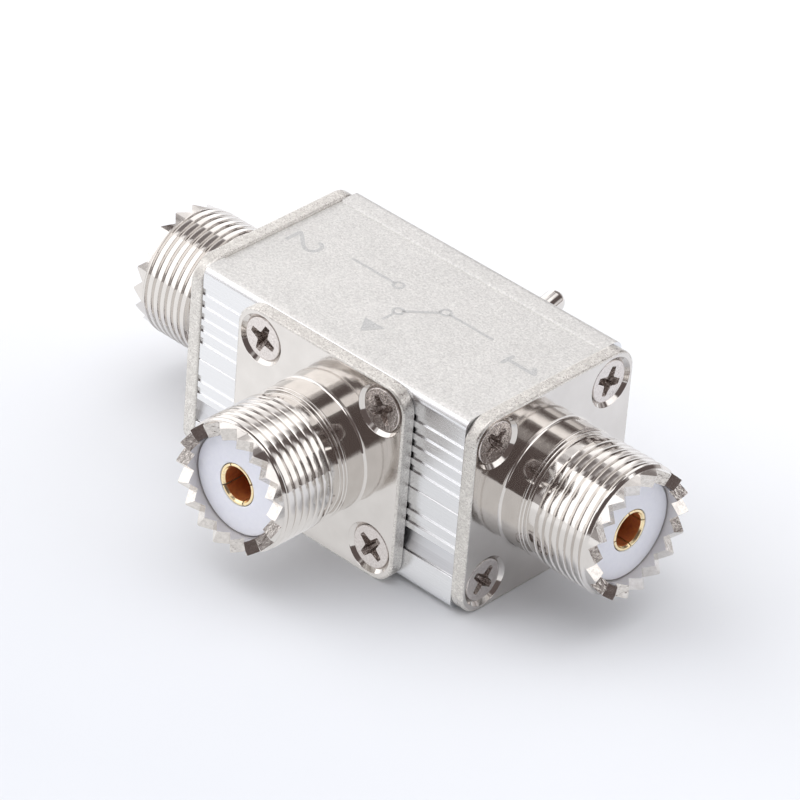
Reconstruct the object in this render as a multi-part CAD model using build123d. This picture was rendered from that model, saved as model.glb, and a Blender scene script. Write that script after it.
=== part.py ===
from build123d import *
import os
from math import asin, atan2, cos, degrees, pi, radians, sin, sqrt

os.makedirs("parts", exist_ok=True)

# Two-way coaxial switch: a split, ribbed aluminium extrusion with a flanged receptacle on each end
# and one on the front, and a bat-handle toggle through the back wall.
# Millimetres. Origin on the surface the switch stands on, straight below the crossing of the three
# connector axes, +Z up, +X towards port 1, -Y towards the common port, +Y towards the toggle.

# ------------------------------------------------------------------ driving dimensions
BOX_L = 40.0  # along X
BOX_W = 25.0  # along Y
BOX_H = 25.0  # along Z
BOX_R = 1.2  # long outer edges
WALL = 1.6
AXIS_Z = 12.7  # height of all three connector axes: the square flanges stand on their lower edges
SCREW_PITCH = 18.2  # square pattern of the receptacle flange
P = SCREW_PITCH / 2

SEAM = 0.32  # parting line sits this far above the axis in front, and below it behind
LAP = 0.8  # height of the lap lip inside the parting line
GROOVE = 0.82  # opening of a small side groove
GROOVE_PITCH = 1.622
GROOVE_DEPTH = 0.21
GROOVE_TOP = 9.72  # upper edge of the first small groove, above the axis
LOW_GROOVE_TOP = -1.84  # upper edge of the first groove below the seam
WIDE_TOP, WIDE_BOTTOM, WIDE_DEPTH = -5.09, -8.13, 0.80
PANEL_STEP = 0.18  # the middle of the top is this much lower than its two rails
PANEL_HALF = 9.25  # half width of that lower panel at its floor
BOSS_R = 2.9  # round thickening about each corner screw channel
CHANNEL_R = 1.5
CHANNEL_SLOT = 1.4

FLANGE = 25.4
FLANGE_T = 1.8
FLANGE_R = 3.0
COLLAR_R = 7.80
BEAD_R = 7.92
BEAD_FROM, BEAD_TO = 2.72, 3.50  # above the flange face
RELIEF_R = 7.35  # turned down between the collar and the thread
THREAD_R = 7.9375  # 5/8 in over the crests
THREAD_FROM, THREAD_TO = 5.05, 12.05
RIM_R = 7.62
RIM_IN_R = 6.1
RIM_TOP = 13.8
TEETH = 18
TOOTH_DEPTH = 1.2
TOOTH_WIDTH = 2.44
FACE_Z = 12.06  # insulator and contact end this far above the flange face
SEAT_Z = 4.0  # shoulder the insulator sits on
NECK_R = 4.0
TAIL = 2.0  # insulator behind the flange

CONTACT_R = 2.5
CONTACT_BORE_R = 2.0
CONTACT_FLOOR = 1.8
STEM_R = 1.6
CUP_R = 0.8
CUP_END = -7.8
CUP_DEPTH = 3.2
SLOT = 0.2

SINK_R = 3.1  # countersink at the flange face
HEAD_R = 2.58
HEAD_SUNK = 0.3
HEAD_LAND = 0.2
CLEAR_R = 1.7
SHANK_R = 1.45
SCREW_L = 8.0
RECESS = 3.7
RECESS_W = 0.9
RECESS_D = 1.0

THROW = 11.0  # lever tilt either side of upright, degrees
PIVOT_Y = 15.0
BALL_R = 2.25
LEVER_NECK_R = 1.05
LEVER_TIP_R = 1.4
LEVER_L = 12.3  # pivot to the centre of the round tip
LEVER_SHANK_R = 0.9
LEVER_SHANK_L = 8.5
PLUNGER_BORE_R = 0.61
PLUNGER_BORE_L = 4.9
PLUNGER_R = 0.8
PLUNGER_NOSE = 12.7  # pivot to the centre of the nose
PLUNGER_STEM_R = 0.55

BUSH_R = 3.175  # 1/4-40 bushing
BUSH_BORE_R = 2.3
BUSH_FROM, BUSH_TO = 8.7, 17.7
NUT_AF = 8.0

CASE_L, CASE_W = 13.2, 7.1
CASE_TOP, CASE_FLOOR, CASE_BOTTOM = 8.3, 0.0, -1.0
FRAME_T = 0.4
TERMINAL_X = 4.7
TERMINAL_END = -5.0
EYE_Y, EYE_R = -3.8, 0.66

ROCKER_Y = 1.3
ROCKER_TILT = 8.0
ROCKER_W = 2.6
KNUCKLE_R = 0.8
WIRE_R = 0.6


# ------------------------------------------------------------------ small helpers
def turned(points):
    """Solid of revolution about Z from (radius, height) corners."""
    return revolve(Plane.XZ * make_face(Polyline(*points, close=True)), Axis.Z)


def rod(radius, start, end):
    """Round bar from one point to another."""
    a, b = Vector(*start), Vector(*end)
    return Plane(origin=a, z_dir=(b - a).normalized()) * Cylinder(
        radius, (b - a).length, align=(Align.CENTER, Align.CENTER, Align.MIN)
    )


def block(x0, x1, y0, y1, z0, z1):
    return Pos((x0 + x1) / 2, (y0 + y1) / 2, (z0 + z1) / 2) * Box(x1 - x0, y1 - y0, z1 - z0)


def save(shape, name):
    solids = shape.solids()
    out = solids[0] if len(solids) == 1 else Compound(children=list(solids))
    out.label = name
    export_step(out, "parts/" + name + ".step")
    print(name, "solids", len(solids), "volume", round(sum(s.volume for s in solids), 3))


# ------------------------------------------------------------------ housing halves
# The two halves are one extrusion, the second turned half a turn about X. Section in (y, z - axis).
def shell_half():
    outer = RectangleRounded(BOX_W, BOX_H, BOX_R)
    section = outer - Rectangle(BOX_W - 2 * WALL, BOX_H - 2 * WALL)
    for y in (-P, P):
        section += (Pos(y, P) * Circle(BOSS_R)) & outer
    # a thicker back wall behind the wide groove
    pad_mid = -(WIDE_TOP + WIDE_BOTTOM) / 2
    section += Pos(BOX_W / 2 - WALL - 0.6, pad_mid) * Rectangle(1.2, 3.9)
    # front side: five small grooves
    for i in range(5):
        mid = GROOVE_TOP - i * GROOVE_PITCH - GROOVE / 2
        section -= Pos(-BOX_W / 2, mid) * Rectangle(2 * GROOVE_DEPTH, GROOVE)
    # back side: two small grooves and the wide one, the mirror of the lower half's front
    for i in range(2):
        mid = -(LOW_GROOVE_TOP - i * GROOVE_PITCH - GROOVE / 2)
        section -= Pos(BOX_W / 2, mid) * Rectangle(2 * GROOVE_DEPTH, GROOVE)
    w = BOX_W / 2
    section -= make_face(
        Polyline(
            (w + 1, -WIDE_TOP), (w - WIDE_DEPTH, -WIDE_TOP), (w - WIDE_DEPTH + 0.18, 6.9),
            (w - 0.26, -WIDE_BOTTOM - 0.05), (w, -WIDE_BOTTOM), (w + 1, -WIDE_BOTTOM), close=True,
        )
    )
    # the lower panel between two rails on top
    h = BOX_H / 2
    section -= make_face(
        Polyline(
            (-PANEL_HALF, h - PANEL_STEP), (PANEL_HALF, h - PANEL_STEP),
            (PANEL_HALF + PANEL_STEP + 0.1, h + 0.1), (-PANEL_HALF - PANEL_STEP - 0.1, h + 0.1),
            close=True,
        )
    )
    # corner screw channels, open towards the inside
    for y in (-P, P):
        section -= Pos(y, P) * Circle(CHANNEL_R)
        section -= Pos(y - 2.2 * (1 if y > 0 else -1) * sqrt(0.5), P - 2.2 * sqrt(0.5)) * (
            Rot(0, 0, 45 if y > 0 else -45) * Rectangle(2.6, CHANNEL_SLOT)
        )
    # lapped parting line
    mid_w = BOX_W / 2 - WALL / 2
    section &= make_face(
        Polyline(
            (-w - 1, SEAM), (-mid_w, SEAM), (-mid_w, SEAM + LAP), (0, SEAM + LAP),
            (0, -SEAM - LAP), (mid_w, -SEAM - LAP), (mid_w, -SEAM), (w + 1, -SEAM),
            (w + 1, h + 1), (-w - 1, h + 1), close=True,
        )
    )
    # a fine bevel on both outer edges of the parting line
    for side, level in ((-1, SEAM), (1, -SEAM)):
        section -= make_face(
            Polyline(
                (side * (w + 0.1), level - 0.24), (side * (w - 0.10), level),
                (side * (w + 0.1), level + 0.24), close=True,
            )
        )
    return extrude(Plane.YZ * section, amount=BOX_L / 2, both=True)


half = shell_half()
upper_shell = Pos(0, 0, AXIS_Z) * half
lower_shell = Pos(0, 0, AXIS_Z) * (Rot(180, 0, 0) * half)

front = -BOX_W / 2
back = BOX_W / 2
cuts = rod(6.0, (0, front - 1, AXIS_Z), (0, front + 4, AXIS_Z))  # common port
cuts += rod(BUSH_R + 0.1, (0, back + 1, AXIS_Z), (0, back - 4, AXIS_Z))  # toggle bushing
for sx in (-1, 1):
    for sz in (-1, 1):
        cuts += rod(CHANNEL_R, (sx * P, front - 1, AXIS_Z + sz * P), (sx * P, front + 7.5, AXIS_Z + sz * P))
upper_shell -= cuts
lower_shell -= cuts


# ------------------------------------------------------------------ receptacle, axis on local Z
def receptacle_shell():
    body = extrude(RectangleRounded(FLANGE, FLANGE, FLANGE_R), amount=-FLANGE_T)
    fillet_r = 0.35
    body += turned(
        [
            (0, -FLANGE_T), (COLLAR_R + fillet_r, -FLANGE_T), (COLLAR_R + fillet_r, 0),
            (COLLAR_R + 0.1, 0.1), (COLLAR_R, fillet_r), (COLLAR_R, BEAD_FROM),
            (BEAD_R, BEAD_FROM + 0.1), (BEAD_R, BEAD_TO - 0.1), (BEAD_R - 0.1, BEAD_TO),
            (RELIEF_R, BEAD_TO), (RELIEF_R, THREAD_FROM - 0.3),
            (THREAD_R, THREAD_FROM), (THREAD_R, THREAD_TO), (RIM_R, THREAD_TO + 0.3),
            (RIM_R, RIM_TOP), (0, RIM_TOP),
        ]
    )
    body -= turned([(0, -FLANGE_T - 1), (NECK_R, -FLANGE_T - 1), (NECK_R, SEAT_Z), (0, SEAT_Z)])
    body -= turned([(0, SEAT_Z), (RIM_IN_R, SEAT_Z), (RIM_IN_R, RIM_TOP + 1), (0, RIM_TOP + 1)])
    sink = turned(
        [
            (0, -FLANGE_T - 0.5), (CLEAR_R, -FLANGE_T - 0.5), (CLEAR_R, -(SINK_R - CLEAR_R)),
            (SINK_R, 0), (SINK_R, 0.5), (0, 0.5),
        ]
    )
    for sx in (-1, 1):
        for sy in (-1, 1):
            body -= Pos(sx * P, sy * P, 0) * sink
    # toothed rim: straight-sided notches cut across it, a tooth at every 20 degrees
    notch = extrude(
        Plane.YZ * make_face(
            Polyline(
                (-TOOTH_WIDTH / 2 - 0.1, RIM_TOP + 0.1 * 2 * TOOTH_DEPTH / TOOTH_WIDTH),
                (0, RIM_TOP - TOOTH_DEPTH),
                (TOOTH_WIDTH / 2 + 0.1, RIM_TOP + 0.1 * 2 * TOOTH_DEPTH / TOOTH_WIDTH),
                close=True,
            )
        ),
        amount=9,
    )
    step = 360 / TEETH
    for i in range(TEETH):
        body -= Rot(0, 0, step * (i + 0.5)) * notch
    return body


def receptacle_insulator():
    return turned(
        [
            (STEM_R, -FLANGE_T - TAIL), (NECK_R, -FLANGE_T - TAIL), (NECK_R, SEAT_Z), (RIM_IN_R, SEAT_Z),
            (RIM_IN_R, FACE_Z - 0.15), (RIM_IN_R - 0.15, FACE_Z), (CONTACT_R + 0.05, FACE_Z),
            (CONTACT_R + 0.05, 1.0), (STEM_R, 1.0),
        ]
    )


def receptacle_contact():
    body = turned(
        [
            (0, CUP_END), (STEM_R - 0.15, CUP_END), (STEM_R, CUP_END + 0.15), (STEM_R, 1.0),
            (CONTACT_R, 1.0), (CONTACT_R, FACE_Z - 0.12), (CONTACT_R - 0.12, FACE_Z), (0, FACE_Z),
        ]
    )
    body -= turned(
        [
            (0, CONTACT_FLOOR), (CONTACT_BORE_R, CONTACT_FLOOR), (CONTACT_BORE_R, FACE_Z - 0.22),
            (CONTACT_BORE_R + 0.3, FACE_Z + 0.08), (0, FACE_Z + 0.08),
        ]
    )
    body -= turned([(0, CUP_END - 1), (CUP_R, CUP_END - 1), (CUP_R, CUP_END + CUP_DEPTH), (0, CUP_END + CUP_DEPTH)])
    for turn in (0, 90):
        body -= Rot(0, 0, turn) * block(-4, 4, -SLOT / 2, SLOT / 2, 5.5, FACE_Z + 1)
    return body


def screw():
    body = turned(
        [
            (0, -HEAD_SUNK - SCREW_L), (SHANK_R - 0.3, -HEAD_SUNK - SCREW_L),
            (SHANK_R, -HEAD_SUNK - SCREW_L + 0.3),
            (SHANK_R, -HEAD_SUNK - HEAD_LAND - (HEAD_R - SHANK_R)),
            (HEAD_R, -HEAD_SUNK - HEAD_LAND), (HEAD_R, -HEAD_SUNK - 0.08),
            (HEAD_R - 0.08, -HEAD_SUNK), (0, -HEAD_SUNK),
        ]
    )
    for turn in (0, 90):
        body -= Rot(0, 0, turn) * (
            Pos(0, 0, -HEAD_SUNK - RECESS_D) * extrude(Rectangle(RECESS * 0.72, RECESS_W * 0.7), amount=RECESS_D + 0.5)
        )
        body -= Rot(0, 0, turn) * (
            Pos(0, 0, -HEAD_SUNK - RECESS_D * 0.7) * extrude(Rectangle(RECESS, RECESS_W), amount=RECESS_D + 0.5)
        )
    return body


shell_part = receptacle_shell()
insulator_part = receptacle_insulator()
contact_part = receptacle_contact()
screw_part = screw()

ports = {
    # name: (plane at the flange face, turn of each screw's cross, turn of the contact's slots)
    "port_1": (
        Plane(origin=(BOX_L / 2 + FLANGE_T, 0, AXIS_Z), x_dir=(0, 1, 0), z_dir=(1, 0, 0)),
        {(-1, 1): 40, (-1, -1): 48, (1, 1): -22, (1, -1): 10},
        10,
    ),
    "port_2": (
        Plane(origin=(-BOX_L / 2 - FLANGE_T, 0, AXIS_Z), x_dir=(0, -1, 0), z_dir=(-1, 0, 0)),
        {(-1, 1): 14, (-1, -1): 71, (1, 1): 33, (1, -1): -17},
        35,
    ),
    "common_port": (
        Plane(origin=(0, -BOX_W / 2 - FLANGE_T, AXIS_Z), x_dir=(1, 0, 0), z_dir=(0, -1, 0)),
        {(-1, 1): -20, (-1, -1): 25, (1, 1): 32, (1, -1): 52},
        27.5,
    ),
}
for name, (plane, turns, slots_at) in ports.items():
    save(plane * shell_part, name + "_shell")
    save(plane * insulator_part, name + "_insulator")
    save(plane * (Rot(0, 0, slots_at) * contact_part), name + "_contact")
    four = [
        (plane * (Pos(sx * P, sy * P, 0) * (Rot(0, 0, turn) * screw_part))).solids()[0]
        for (sx, sy), turn in turns.items()
    ]
    save(Compound(children=four), name + "_screws")

save(upper_shell, "upper_shell")
save(lower_shell, "lower_shell")


# ------------------------------------------------------------------ toggle, along Y
def along_y(y0, shape):
    """Put a shape made about local Z on the toggle's axis, local Z towards +Y, at height y0."""
    return Plane(origin=(0, y0, AXIS_Z), x_dir=(1, 0, 0), z_dir=(0, 1, 0)) * shape


seat_h = sqrt(BUSH_BORE_R**2 - 1.5**2)  # the seat narrows to 1.5 this far above the pivot
bushing = turned(
    [
        (0, BUSH_FROM - FRAME_T), (2.7, BUSH_FROM - FRAME_T), (2.7, BUSH_FROM), (BUSH_R, BUSH_FROM),
        (BUSH_R, BUSH_TO - 0.35), (BUSH_R - 0.35, BUSH_TO), (0, BUSH_TO),
    ]
)
bushing -= turned(
    [
        (0, BUSH_FROM - 1), (BUSH_BORE_R, BUSH_FROM - 1), (BUSH_BORE_R, PIVOT_Y), (0, PIVOT_Y),
    ]
)
bushing -= Pos(0, 0, PIVOT_Y) * Sphere(BUSH_BORE_R)
bushing -= turned(
    [
        (0, PIVOT_Y), (1.5, PIVOT_Y), (1.5, PIVOT_Y + seat_h), (2.05, BUSH_TO), (2.05, BUSH_TO + 1), (0, BUSH_TO + 1),
    ]
)
# keyway along the underside
bushing -= block(-0.45, 0.45, 2.76, 4, BUSH_FROM + 1.5, BUSH_TO + 1)
save(along_y(0, bushing), "toggle_bushing")

frame = block(-CASE_L / 2, CASE_L / 2, CASE_TOP, CASE_TOP + FRAME_T, AXIS_Z - CASE_W / 2 - FRAME_T, AXIS_Z + CASE_W / 2 + FRAME_T)
for s in (-1, 1):
    z_in, z_out = AXIS_Z + s * CASE_W / 2, AXIS_Z + s * (CASE_W / 2 + FRAME_T)
    frame += block(-4.5, 4.5, CASE_BOTTOM - FRAME_T, CASE_TOP + FRAME_T, min(z_in, z_out), max(z_in, z_out))
    z_tab = AXIS_Z + s * (CASE_W / 2 - 0.8)
    frame += block(-2.5, 2.5, CASE_BOTTOM - FRAME_T, CASE_BOTTOM, min(z_tab, z_out), max(z_tab, z_out))
frame -= rod(2.7, (0, CASE_TOP - 1, AXIS_Z), (0, CASE_TOP + 2, AXIS_Z))
save(frame, "toggle_frame")

case = block(-CASE_L / 2, CASE_L / 2, CASE_BOTTOM, CASE_TOP, AXIS_Z - CASE_W / 2, AXIS_Z + CASE_W / 2)
case -= block(-CASE_L / 2 + 0.8, CASE_L / 2 - 0.8, CASE_FLOOR, CASE_TOP + 1, AXIS_Z - 2.4, AXIS_Z + 2.4)
for x in (-TERMINAL_X, 0, TERMINAL_X):
    case -= block(x - 0.42, x + 0.42, CASE_BOTTOM - 1, CASE_FLOOR + 1, AXIS_Z - 1.02, AXIS_Z + 1.02)
save(case, "toggle_case")


def terminal(x, head):
    body = block(x - 0.4, x + 0.4, TERMINAL_END, CASE_FLOOR + 0.1, AXIS_Z - 1.0, AXIS_Z + 1.0)
    body -= rod(EYE_R, (x - 2, EYE_Y, AXIS_Z), (x + 2, EYE_Y, AXIS_Z))
    for s in (-1, 1):  # clipped lower corners
        corner = Pos(x, TERMINAL_END, AXIS_Z + s * 1.0) * (Rot(45, 0, 0) * Box(2, 0.8, 0.8))
        body -= corner
    return body + head


pad_top = 0.67
saddle = block(-1.2, 1.2, CASE_FLOOR, ROCKER_Y - 0.4, AXIS_Z - 1.3, AXIS_Z + 1.3)
saddle -= rod(KNUCKLE_R + 0.05, (0, ROCKER_Y, AXIS_Z - 2), (0, ROCKER_Y, AXIS_Z + 2))
save(terminal(0, saddle), "common_terminal")
for s, name in ((1, "throw_terminal_1"), (-1, "throw_terminal_2")):
    a, b = s * (TERMINAL_X - 1.1), s * (TERMINAL_X + 0.9)
    pad = block(min(a, b), max(a, b), CASE_FLOOR, pad_top, AXIS_Z - 1.3, AXIS_Z + 1.3)
    save(terminal(s * TERMINAL_X, pad), name)

# rocker: a strip dished so the plunger's nose clears it all the way across, with a round knuckle
# underneath that turns in the common terminal's saddle
D = PIVOT_Y - ROCKER_Y
nose_mid = D - PLUNGER_NOSE
ex = PLUNGER_NOSE * sin(radians(THROW))
ey = D - PLUNGER_NOSE * cos(radians(THROW))
tx = ex * cos(radians(ROCKER_TILT)) - ey * sin(radians(ROCKER_TILT))
ty = ex * sin(radians(ROCKER_TILT)) + ey * cos(radians(ROCKER_TILT))
rise = ty - nose_mid
path_r = (tx * tx + rise * rise) / (2 * rise)
DISH_GAP = 0.06
dish_r = path_r + PLUNGER_R + DISH_GAP
dish_y = nose_mid + path_r
STRIP = 0.4
wing_x = 2.6
wing_y = dish_y - sqrt(dish_r**2 - wing_x**2)
rocker = Pos(0, dish_y) * Circle(dish_r + STRIP) & Pos(0, -4 + wing_y) * Rectangle(2 * wing_x, 8)
rocker += Pos(0, wing_y - STRIP / 2) * Rectangle(2 * 4.9, STRIP)
rocker += Circle(KNUCKLE_R)
for s in (-1, 1):
    rocker += Pos(s * 4.4, wing_y - STRIP) * Circle(0.35)
rocker -= Pos(0, dish_y) * Circle(dish_r)
rocker_solid = extrude(rocker, amount=ROCKER_W / 2, both=True)
save(Pos(0, ROCKER_Y, AXIS_Z) * (Rot(0, 0, -ROCKER_TILT) * rocker_solid), "rocker_contact")

# lever and what it carries, made about local Z and thrown towards port 2
lean = Plane(
    origin=(0, PIVOT_Y, AXIS_Z), x_dir=(0, 0, 1), z_dir=(-sin(radians(THROW)), cos(radians(THROW)), 0)
)
lever = Sphere(BALL_R)
lever += Pos(0, 0, -LEVER_SHANK_L) * Cylinder(LEVER_SHANK_R, LEVER_SHANK_L, align=(Align.CENTER, Align.CENTER, Align.MIN))
lever += turned(
    [
        (0, 0), (LEVER_NECK_R, 0), (LEVER_NECK_R, 3.0), (LEVER_TIP_R, LEVER_L - 1.5), (LEVER_TIP_R, LEVER_L), (0, LEVER_L),
    ]
)
lever += Pos(0, 0, LEVER_L) * Sphere(LEVER_TIP_R)
lever -= Pos(0, 0, -LEVER_SHANK_L - 1) * Cylinder(
    PLUNGER_BORE_R, PLUNGER_BORE_L + 1, align=(Align.CENTER, Align.CENTER, Align.MIN)
)
save(lean * lever, "toggle_lever")

shoulder = -LEVER_SHANK_L - 0.8
stem_top = -LEVER_SHANK_L + 2.1
plunger = turned(
    [
        (0, -PLUNGER_NOSE), (PLUNGER_R, -PLUNGER_NOSE), (PLUNGER_R, shoulder), (PLUNGER_STEM_R, shoulder),
        (PLUNGER_STEM_R, stem_top), (0, stem_top),
    ]
)
plunger += Pos(0, 0, -PLUNGER_NOSE) * Sphere(PLUNGER_R)
save(lean * plunger, "plunger")

spring_len = (-LEVER_SHANK_L + PLUNGER_BORE_L) - stem_top
wire = 0.09
helix = Helix(pitch=(spring_len - 2.2 * wire) / 5, height=spring_len - 2.2 * wire, radius=0.42)
helix = Pos(0, 0, stem_top + 1.1 * wire) * helix
spring = sweep(Plane(origin=helix @ 0, z_dir=helix % 0) * Circle(wire), path=helix)
save(lean * spring, "plunger_spring")


# ------------------------------------------------------------------ toggle hardware
def hex_nut(thick, bore_r):
    body = extrude(RegularPolygon(NUT_AF / 2, 6, major_radius=False), amount=thick)
    corner = NUT_AF / sqrt(3)
    c = 0.3
    body &= turned(
        [
            (0, 0), (corner - c * 1.6, 0), (corner + 0.05, c), (corner + 0.05, thick - c),
            (corner - c * 1.6, thick), (0, thick),
        ]
    )
    return body - Cylinder(bore_r, 3 * thick)


save(along_y(back + 0.5, Rot(0, 0, 11) * hex_nut(2.0, BUSH_R + 0.025)), "mounting_nut")
save(along_y(BUSH_FROM, hex_nut(1.7, BUSH_R + 0.025)), "inner_nut")

keyed = Cylinder(5.0, 0.5, align=(Align.CENTER, Align.CENTER, Align.MIN)) - Cylinder(BUSH_R + 0.08, 3)
keyed += block(-0.4, 0.4, 2.8, 3.5, 0, 0.5)
save(along_y(back, keyed), "keyed_washer")

lock = Cylinder(4.55, 0.5, align=(Align.CENTER, Align.CENTER, Align.MIN)) - Cylinder(3.8, 3)
for i in range(8):
    lock += Rot(0, 0, 45 * i + 22.5) * (block(3.25, 4.0, -0.55, 0.55, 0, 0.5))
save(along_y(back - WALL - 0.5, lock), "lock_washer")


# ------------------------------------------------------------------ link wires, at axis height
def link(points, radii):
    path = FilletPolyline(*[(x, y, AXIS_Z) for x, y in points], radius=radii)
    return sweep(Plane(origin=path @ 0, z_dir=path % 0) * Circle(WIRE_R), path=path)


cup_x = BOX_L / 2 + FLANGE_T + CUP_END
for s, name in ((1, "link_wire_1"), (-1, "link_wire_2")):
    save(
        link([(s * (cup_x + 2.8), 0), (s * 12.4, 0), (s * 8.4, EYE_Y), (s * 3.5, EYE_Y)], [2.4, 2.4]),
        name,
    )
cup_y = -BOX_W / 2 - FLANGE_T - CUP_END
save(link([(0, cup_y - 2.8), (0, cup_y + 0.15), (1.02, cup_y + 1.2), (1.02, cup_y + 3.9)], [0.8, 0.8]), "link_wire_common")
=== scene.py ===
import math

import bmesh
import bpy
import numpy as np
from mathutils import Matrix, Vector
from mathutils.geometry import delaunay_2d_cdt

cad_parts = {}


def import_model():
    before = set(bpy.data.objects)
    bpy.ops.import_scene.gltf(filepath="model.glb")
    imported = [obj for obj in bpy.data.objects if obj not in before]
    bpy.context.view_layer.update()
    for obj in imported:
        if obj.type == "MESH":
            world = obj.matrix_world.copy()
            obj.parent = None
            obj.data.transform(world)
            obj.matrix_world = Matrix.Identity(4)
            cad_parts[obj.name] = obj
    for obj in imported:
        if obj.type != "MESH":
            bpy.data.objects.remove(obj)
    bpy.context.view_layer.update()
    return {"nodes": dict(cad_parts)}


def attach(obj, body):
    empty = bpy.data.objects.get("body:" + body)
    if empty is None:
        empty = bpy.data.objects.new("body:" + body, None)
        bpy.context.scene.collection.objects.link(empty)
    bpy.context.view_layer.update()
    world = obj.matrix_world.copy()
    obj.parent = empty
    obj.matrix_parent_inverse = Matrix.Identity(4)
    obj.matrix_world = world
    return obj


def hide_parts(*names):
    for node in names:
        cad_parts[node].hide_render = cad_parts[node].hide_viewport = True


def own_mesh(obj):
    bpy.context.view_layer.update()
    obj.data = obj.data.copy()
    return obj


# Visual model of a two-way coaxial switch. Shapes are made in millimetres about their own axes and
# put in place in metres. Origin: on the floor below the crossing of the three connector axes,
# +X out of port 1, -Y out of the common port, +Y along the toggle, +Z up.

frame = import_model()
nodes = frame["nodes"]

MM = 0.001
AXIS_Z = 12.7
TAU = 2 * math.pi


# ------------------------------------------------------------------ camera
def make_camera():
    rows = (
        (0.719423, 0.691234, 0.068011),
        (0.427917, -0.363970, -0.827293),
        (-0.547099, 0.624277, -0.557639),
    )
    m = Matrix(
        (
            (rows[0][0], -rows[1][0], -rows[2][0]),
            (rows[0][1], -rows[1][1], -rows[2][1]),
            (rows[0][2], -rows[1][2], -rows[2][2]),
        )
    ).to_4x4()
    m.translation = Vector((0.3398748, -0.3885382, 0.3462708 + AXIS_Z * MM))
    data = bpy.data.cameras.new("camera")
    data.sensor_width = 36.0
    data.sensor_fit = "HORIZONTAL"
    data.lens = 250.96
    data.clip_start, data.clip_end = 0.01, 20
    cam = bpy.data.objects.new("camera", data)
    cam.matrix_world = m
    bpy.context.scene.collection.objects.link(cam)
    bpy.context.scene.camera = cam


make_camera()


# ------------------------------------------------------------------ node material helpers
class Mat:
    """A material with a Principled shader and short calls for its nodes."""

    def __init__(self, name, color=(0.8, 0.8, 0.8), metallic=0.0, roughness=0.5, **sockets):
        self.mat = bpy.data.materials.new(name)
        self.mat.use_nodes = True
        self.tree = self.mat.node_tree
        self.bsdf = self.tree.nodes["Principled BSDF"]
        self.put("Base Color", (*color, 1))
        self.put("Metallic", metallic)
        self.put("Roughness", roughness)
        for key, value in sockets.items():
            self.put(key.replace("_", " "), value)
        self.bump_in = None

    def put(self, socket, value):
        self.bsdf.inputs[socket].default_value = value

    def node(self, kind, **props):
        n = self.tree.nodes.new(kind)
        for k, v in props.items():
            setattr(n, k, v)
        return n

    def link(self, a, b):
        self.tree.links.new(a, b)

    def coords(self, scale=(1, 1, 1), source="Object", offset=(0, 0, 0)):
        """Texture coordinates in millimetres times scale."""
        if source == "Object":
            src = self.node("ShaderNodeTexCoord").outputs["Object"]
            k = 1000.0
        else:
            src = self.node("ShaderNodeAttribute", attribute_name=source).outputs["Vector"]
            k = 1.0
        m = self.node("ShaderNodeMapping")
        m.inputs["Scale"].default_value = [k * s for s in scale]
        m.inputs["Location"].default_value = offset
        self.link(src, m.inputs["Vector"])
        return m.outputs["Vector"]

    def noise(self, vector, scale=1.0, detail=2.0, rough=0.5, distortion=0.0):
        n = self.node("ShaderNodeTexNoise")
        n.inputs["Scale"].default_value = scale
        n.inputs["Detail"].default_value = detail
        n.inputs["Roughness"].default_value = rough
        n.inputs["Distortion"].default_value = distortion
        self.link(vector, n.inputs["Vector"])
        return n.outputs["Fac"]

    def voronoi(self, vector, scale=1.0, out="Color", feature="F1"):
        n = self.node("ShaderNodeTexVoronoi", feature=feature)
        n.inputs["Scale"].default_value = scale
        self.link(vector, n.inputs["Vector"])
        return n.outputs[out]

    def grey(self, color):
        n = self.node("ShaderNodeSeparateColor")
        self.link(color, n.inputs["Color"])
        return n.outputs["Red"]

    def remap(self, value, a, b, c, d):
        n = self.node("ShaderNodeMapRange")
        for k, v in zip(("From Min", "From Max", "To Min", "To Max"), (a, b, c, d)):
            n.inputs[k].default_value = v
        self.link(value, n.inputs["Value"])
        return n.outputs["Result"]

    def math(self, op, a, b=None):
        n = self.node("ShaderNodeMath", operation=op)
        for i, v in enumerate((a, b)):
            if v is None:
                continue
            if isinstance(v, (int, float)):
                n.inputs[i].default_value = v
            else:
                self.link(v, n.inputs[i])
        return n.outputs["Value"]

    def mix(self, fac, a, b, blend="MIX"):
        n = self.node("ShaderNodeMix", data_type="RGBA", blend_type=blend)
        for sock, v in ((n.inputs["Factor"], fac), (n.inputs[6], a), (n.inputs[7], b)):
            if isinstance(v, (int, float)):
                sock.default_value = v
            elif isinstance(v, tuple):
                sock.default_value = (*v, 1) if len(v) == 3 else v
            else:
                self.link(v, sock)
        return n.outputs[2]

    def color(self, socket):
        self.link(socket, self.bsdf.inputs["Base Color"])

    def rough(self, socket):
        self.link(socket, self.bsdf.inputs["Roughness"])

    def bump(self, height, distance_mm, strength=1.0):
        n = self.node("ShaderNodeBump")
        n.inputs["Strength"].default_value = strength
        n.inputs["Distance"].default_value = distance_mm * MM
        self.link(height, n.inputs["Height"])
        if self.bump_in is not None:
            self.link(self.bump_in, n.inputs["Normal"])
        self.bump_in = n.outputs["Normal"]
        self.link(self.bump_in, self.bsdf.inputs["Normal"])

    def edges(self, low=0.52, high=0.60):
        """1 on convex edges, 0 elsewhere."""
        g = self.node("ShaderNodeNewGeometry")
        return self.remap(g.outputs["Pointiness"], low, high, 0, 1)


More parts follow.
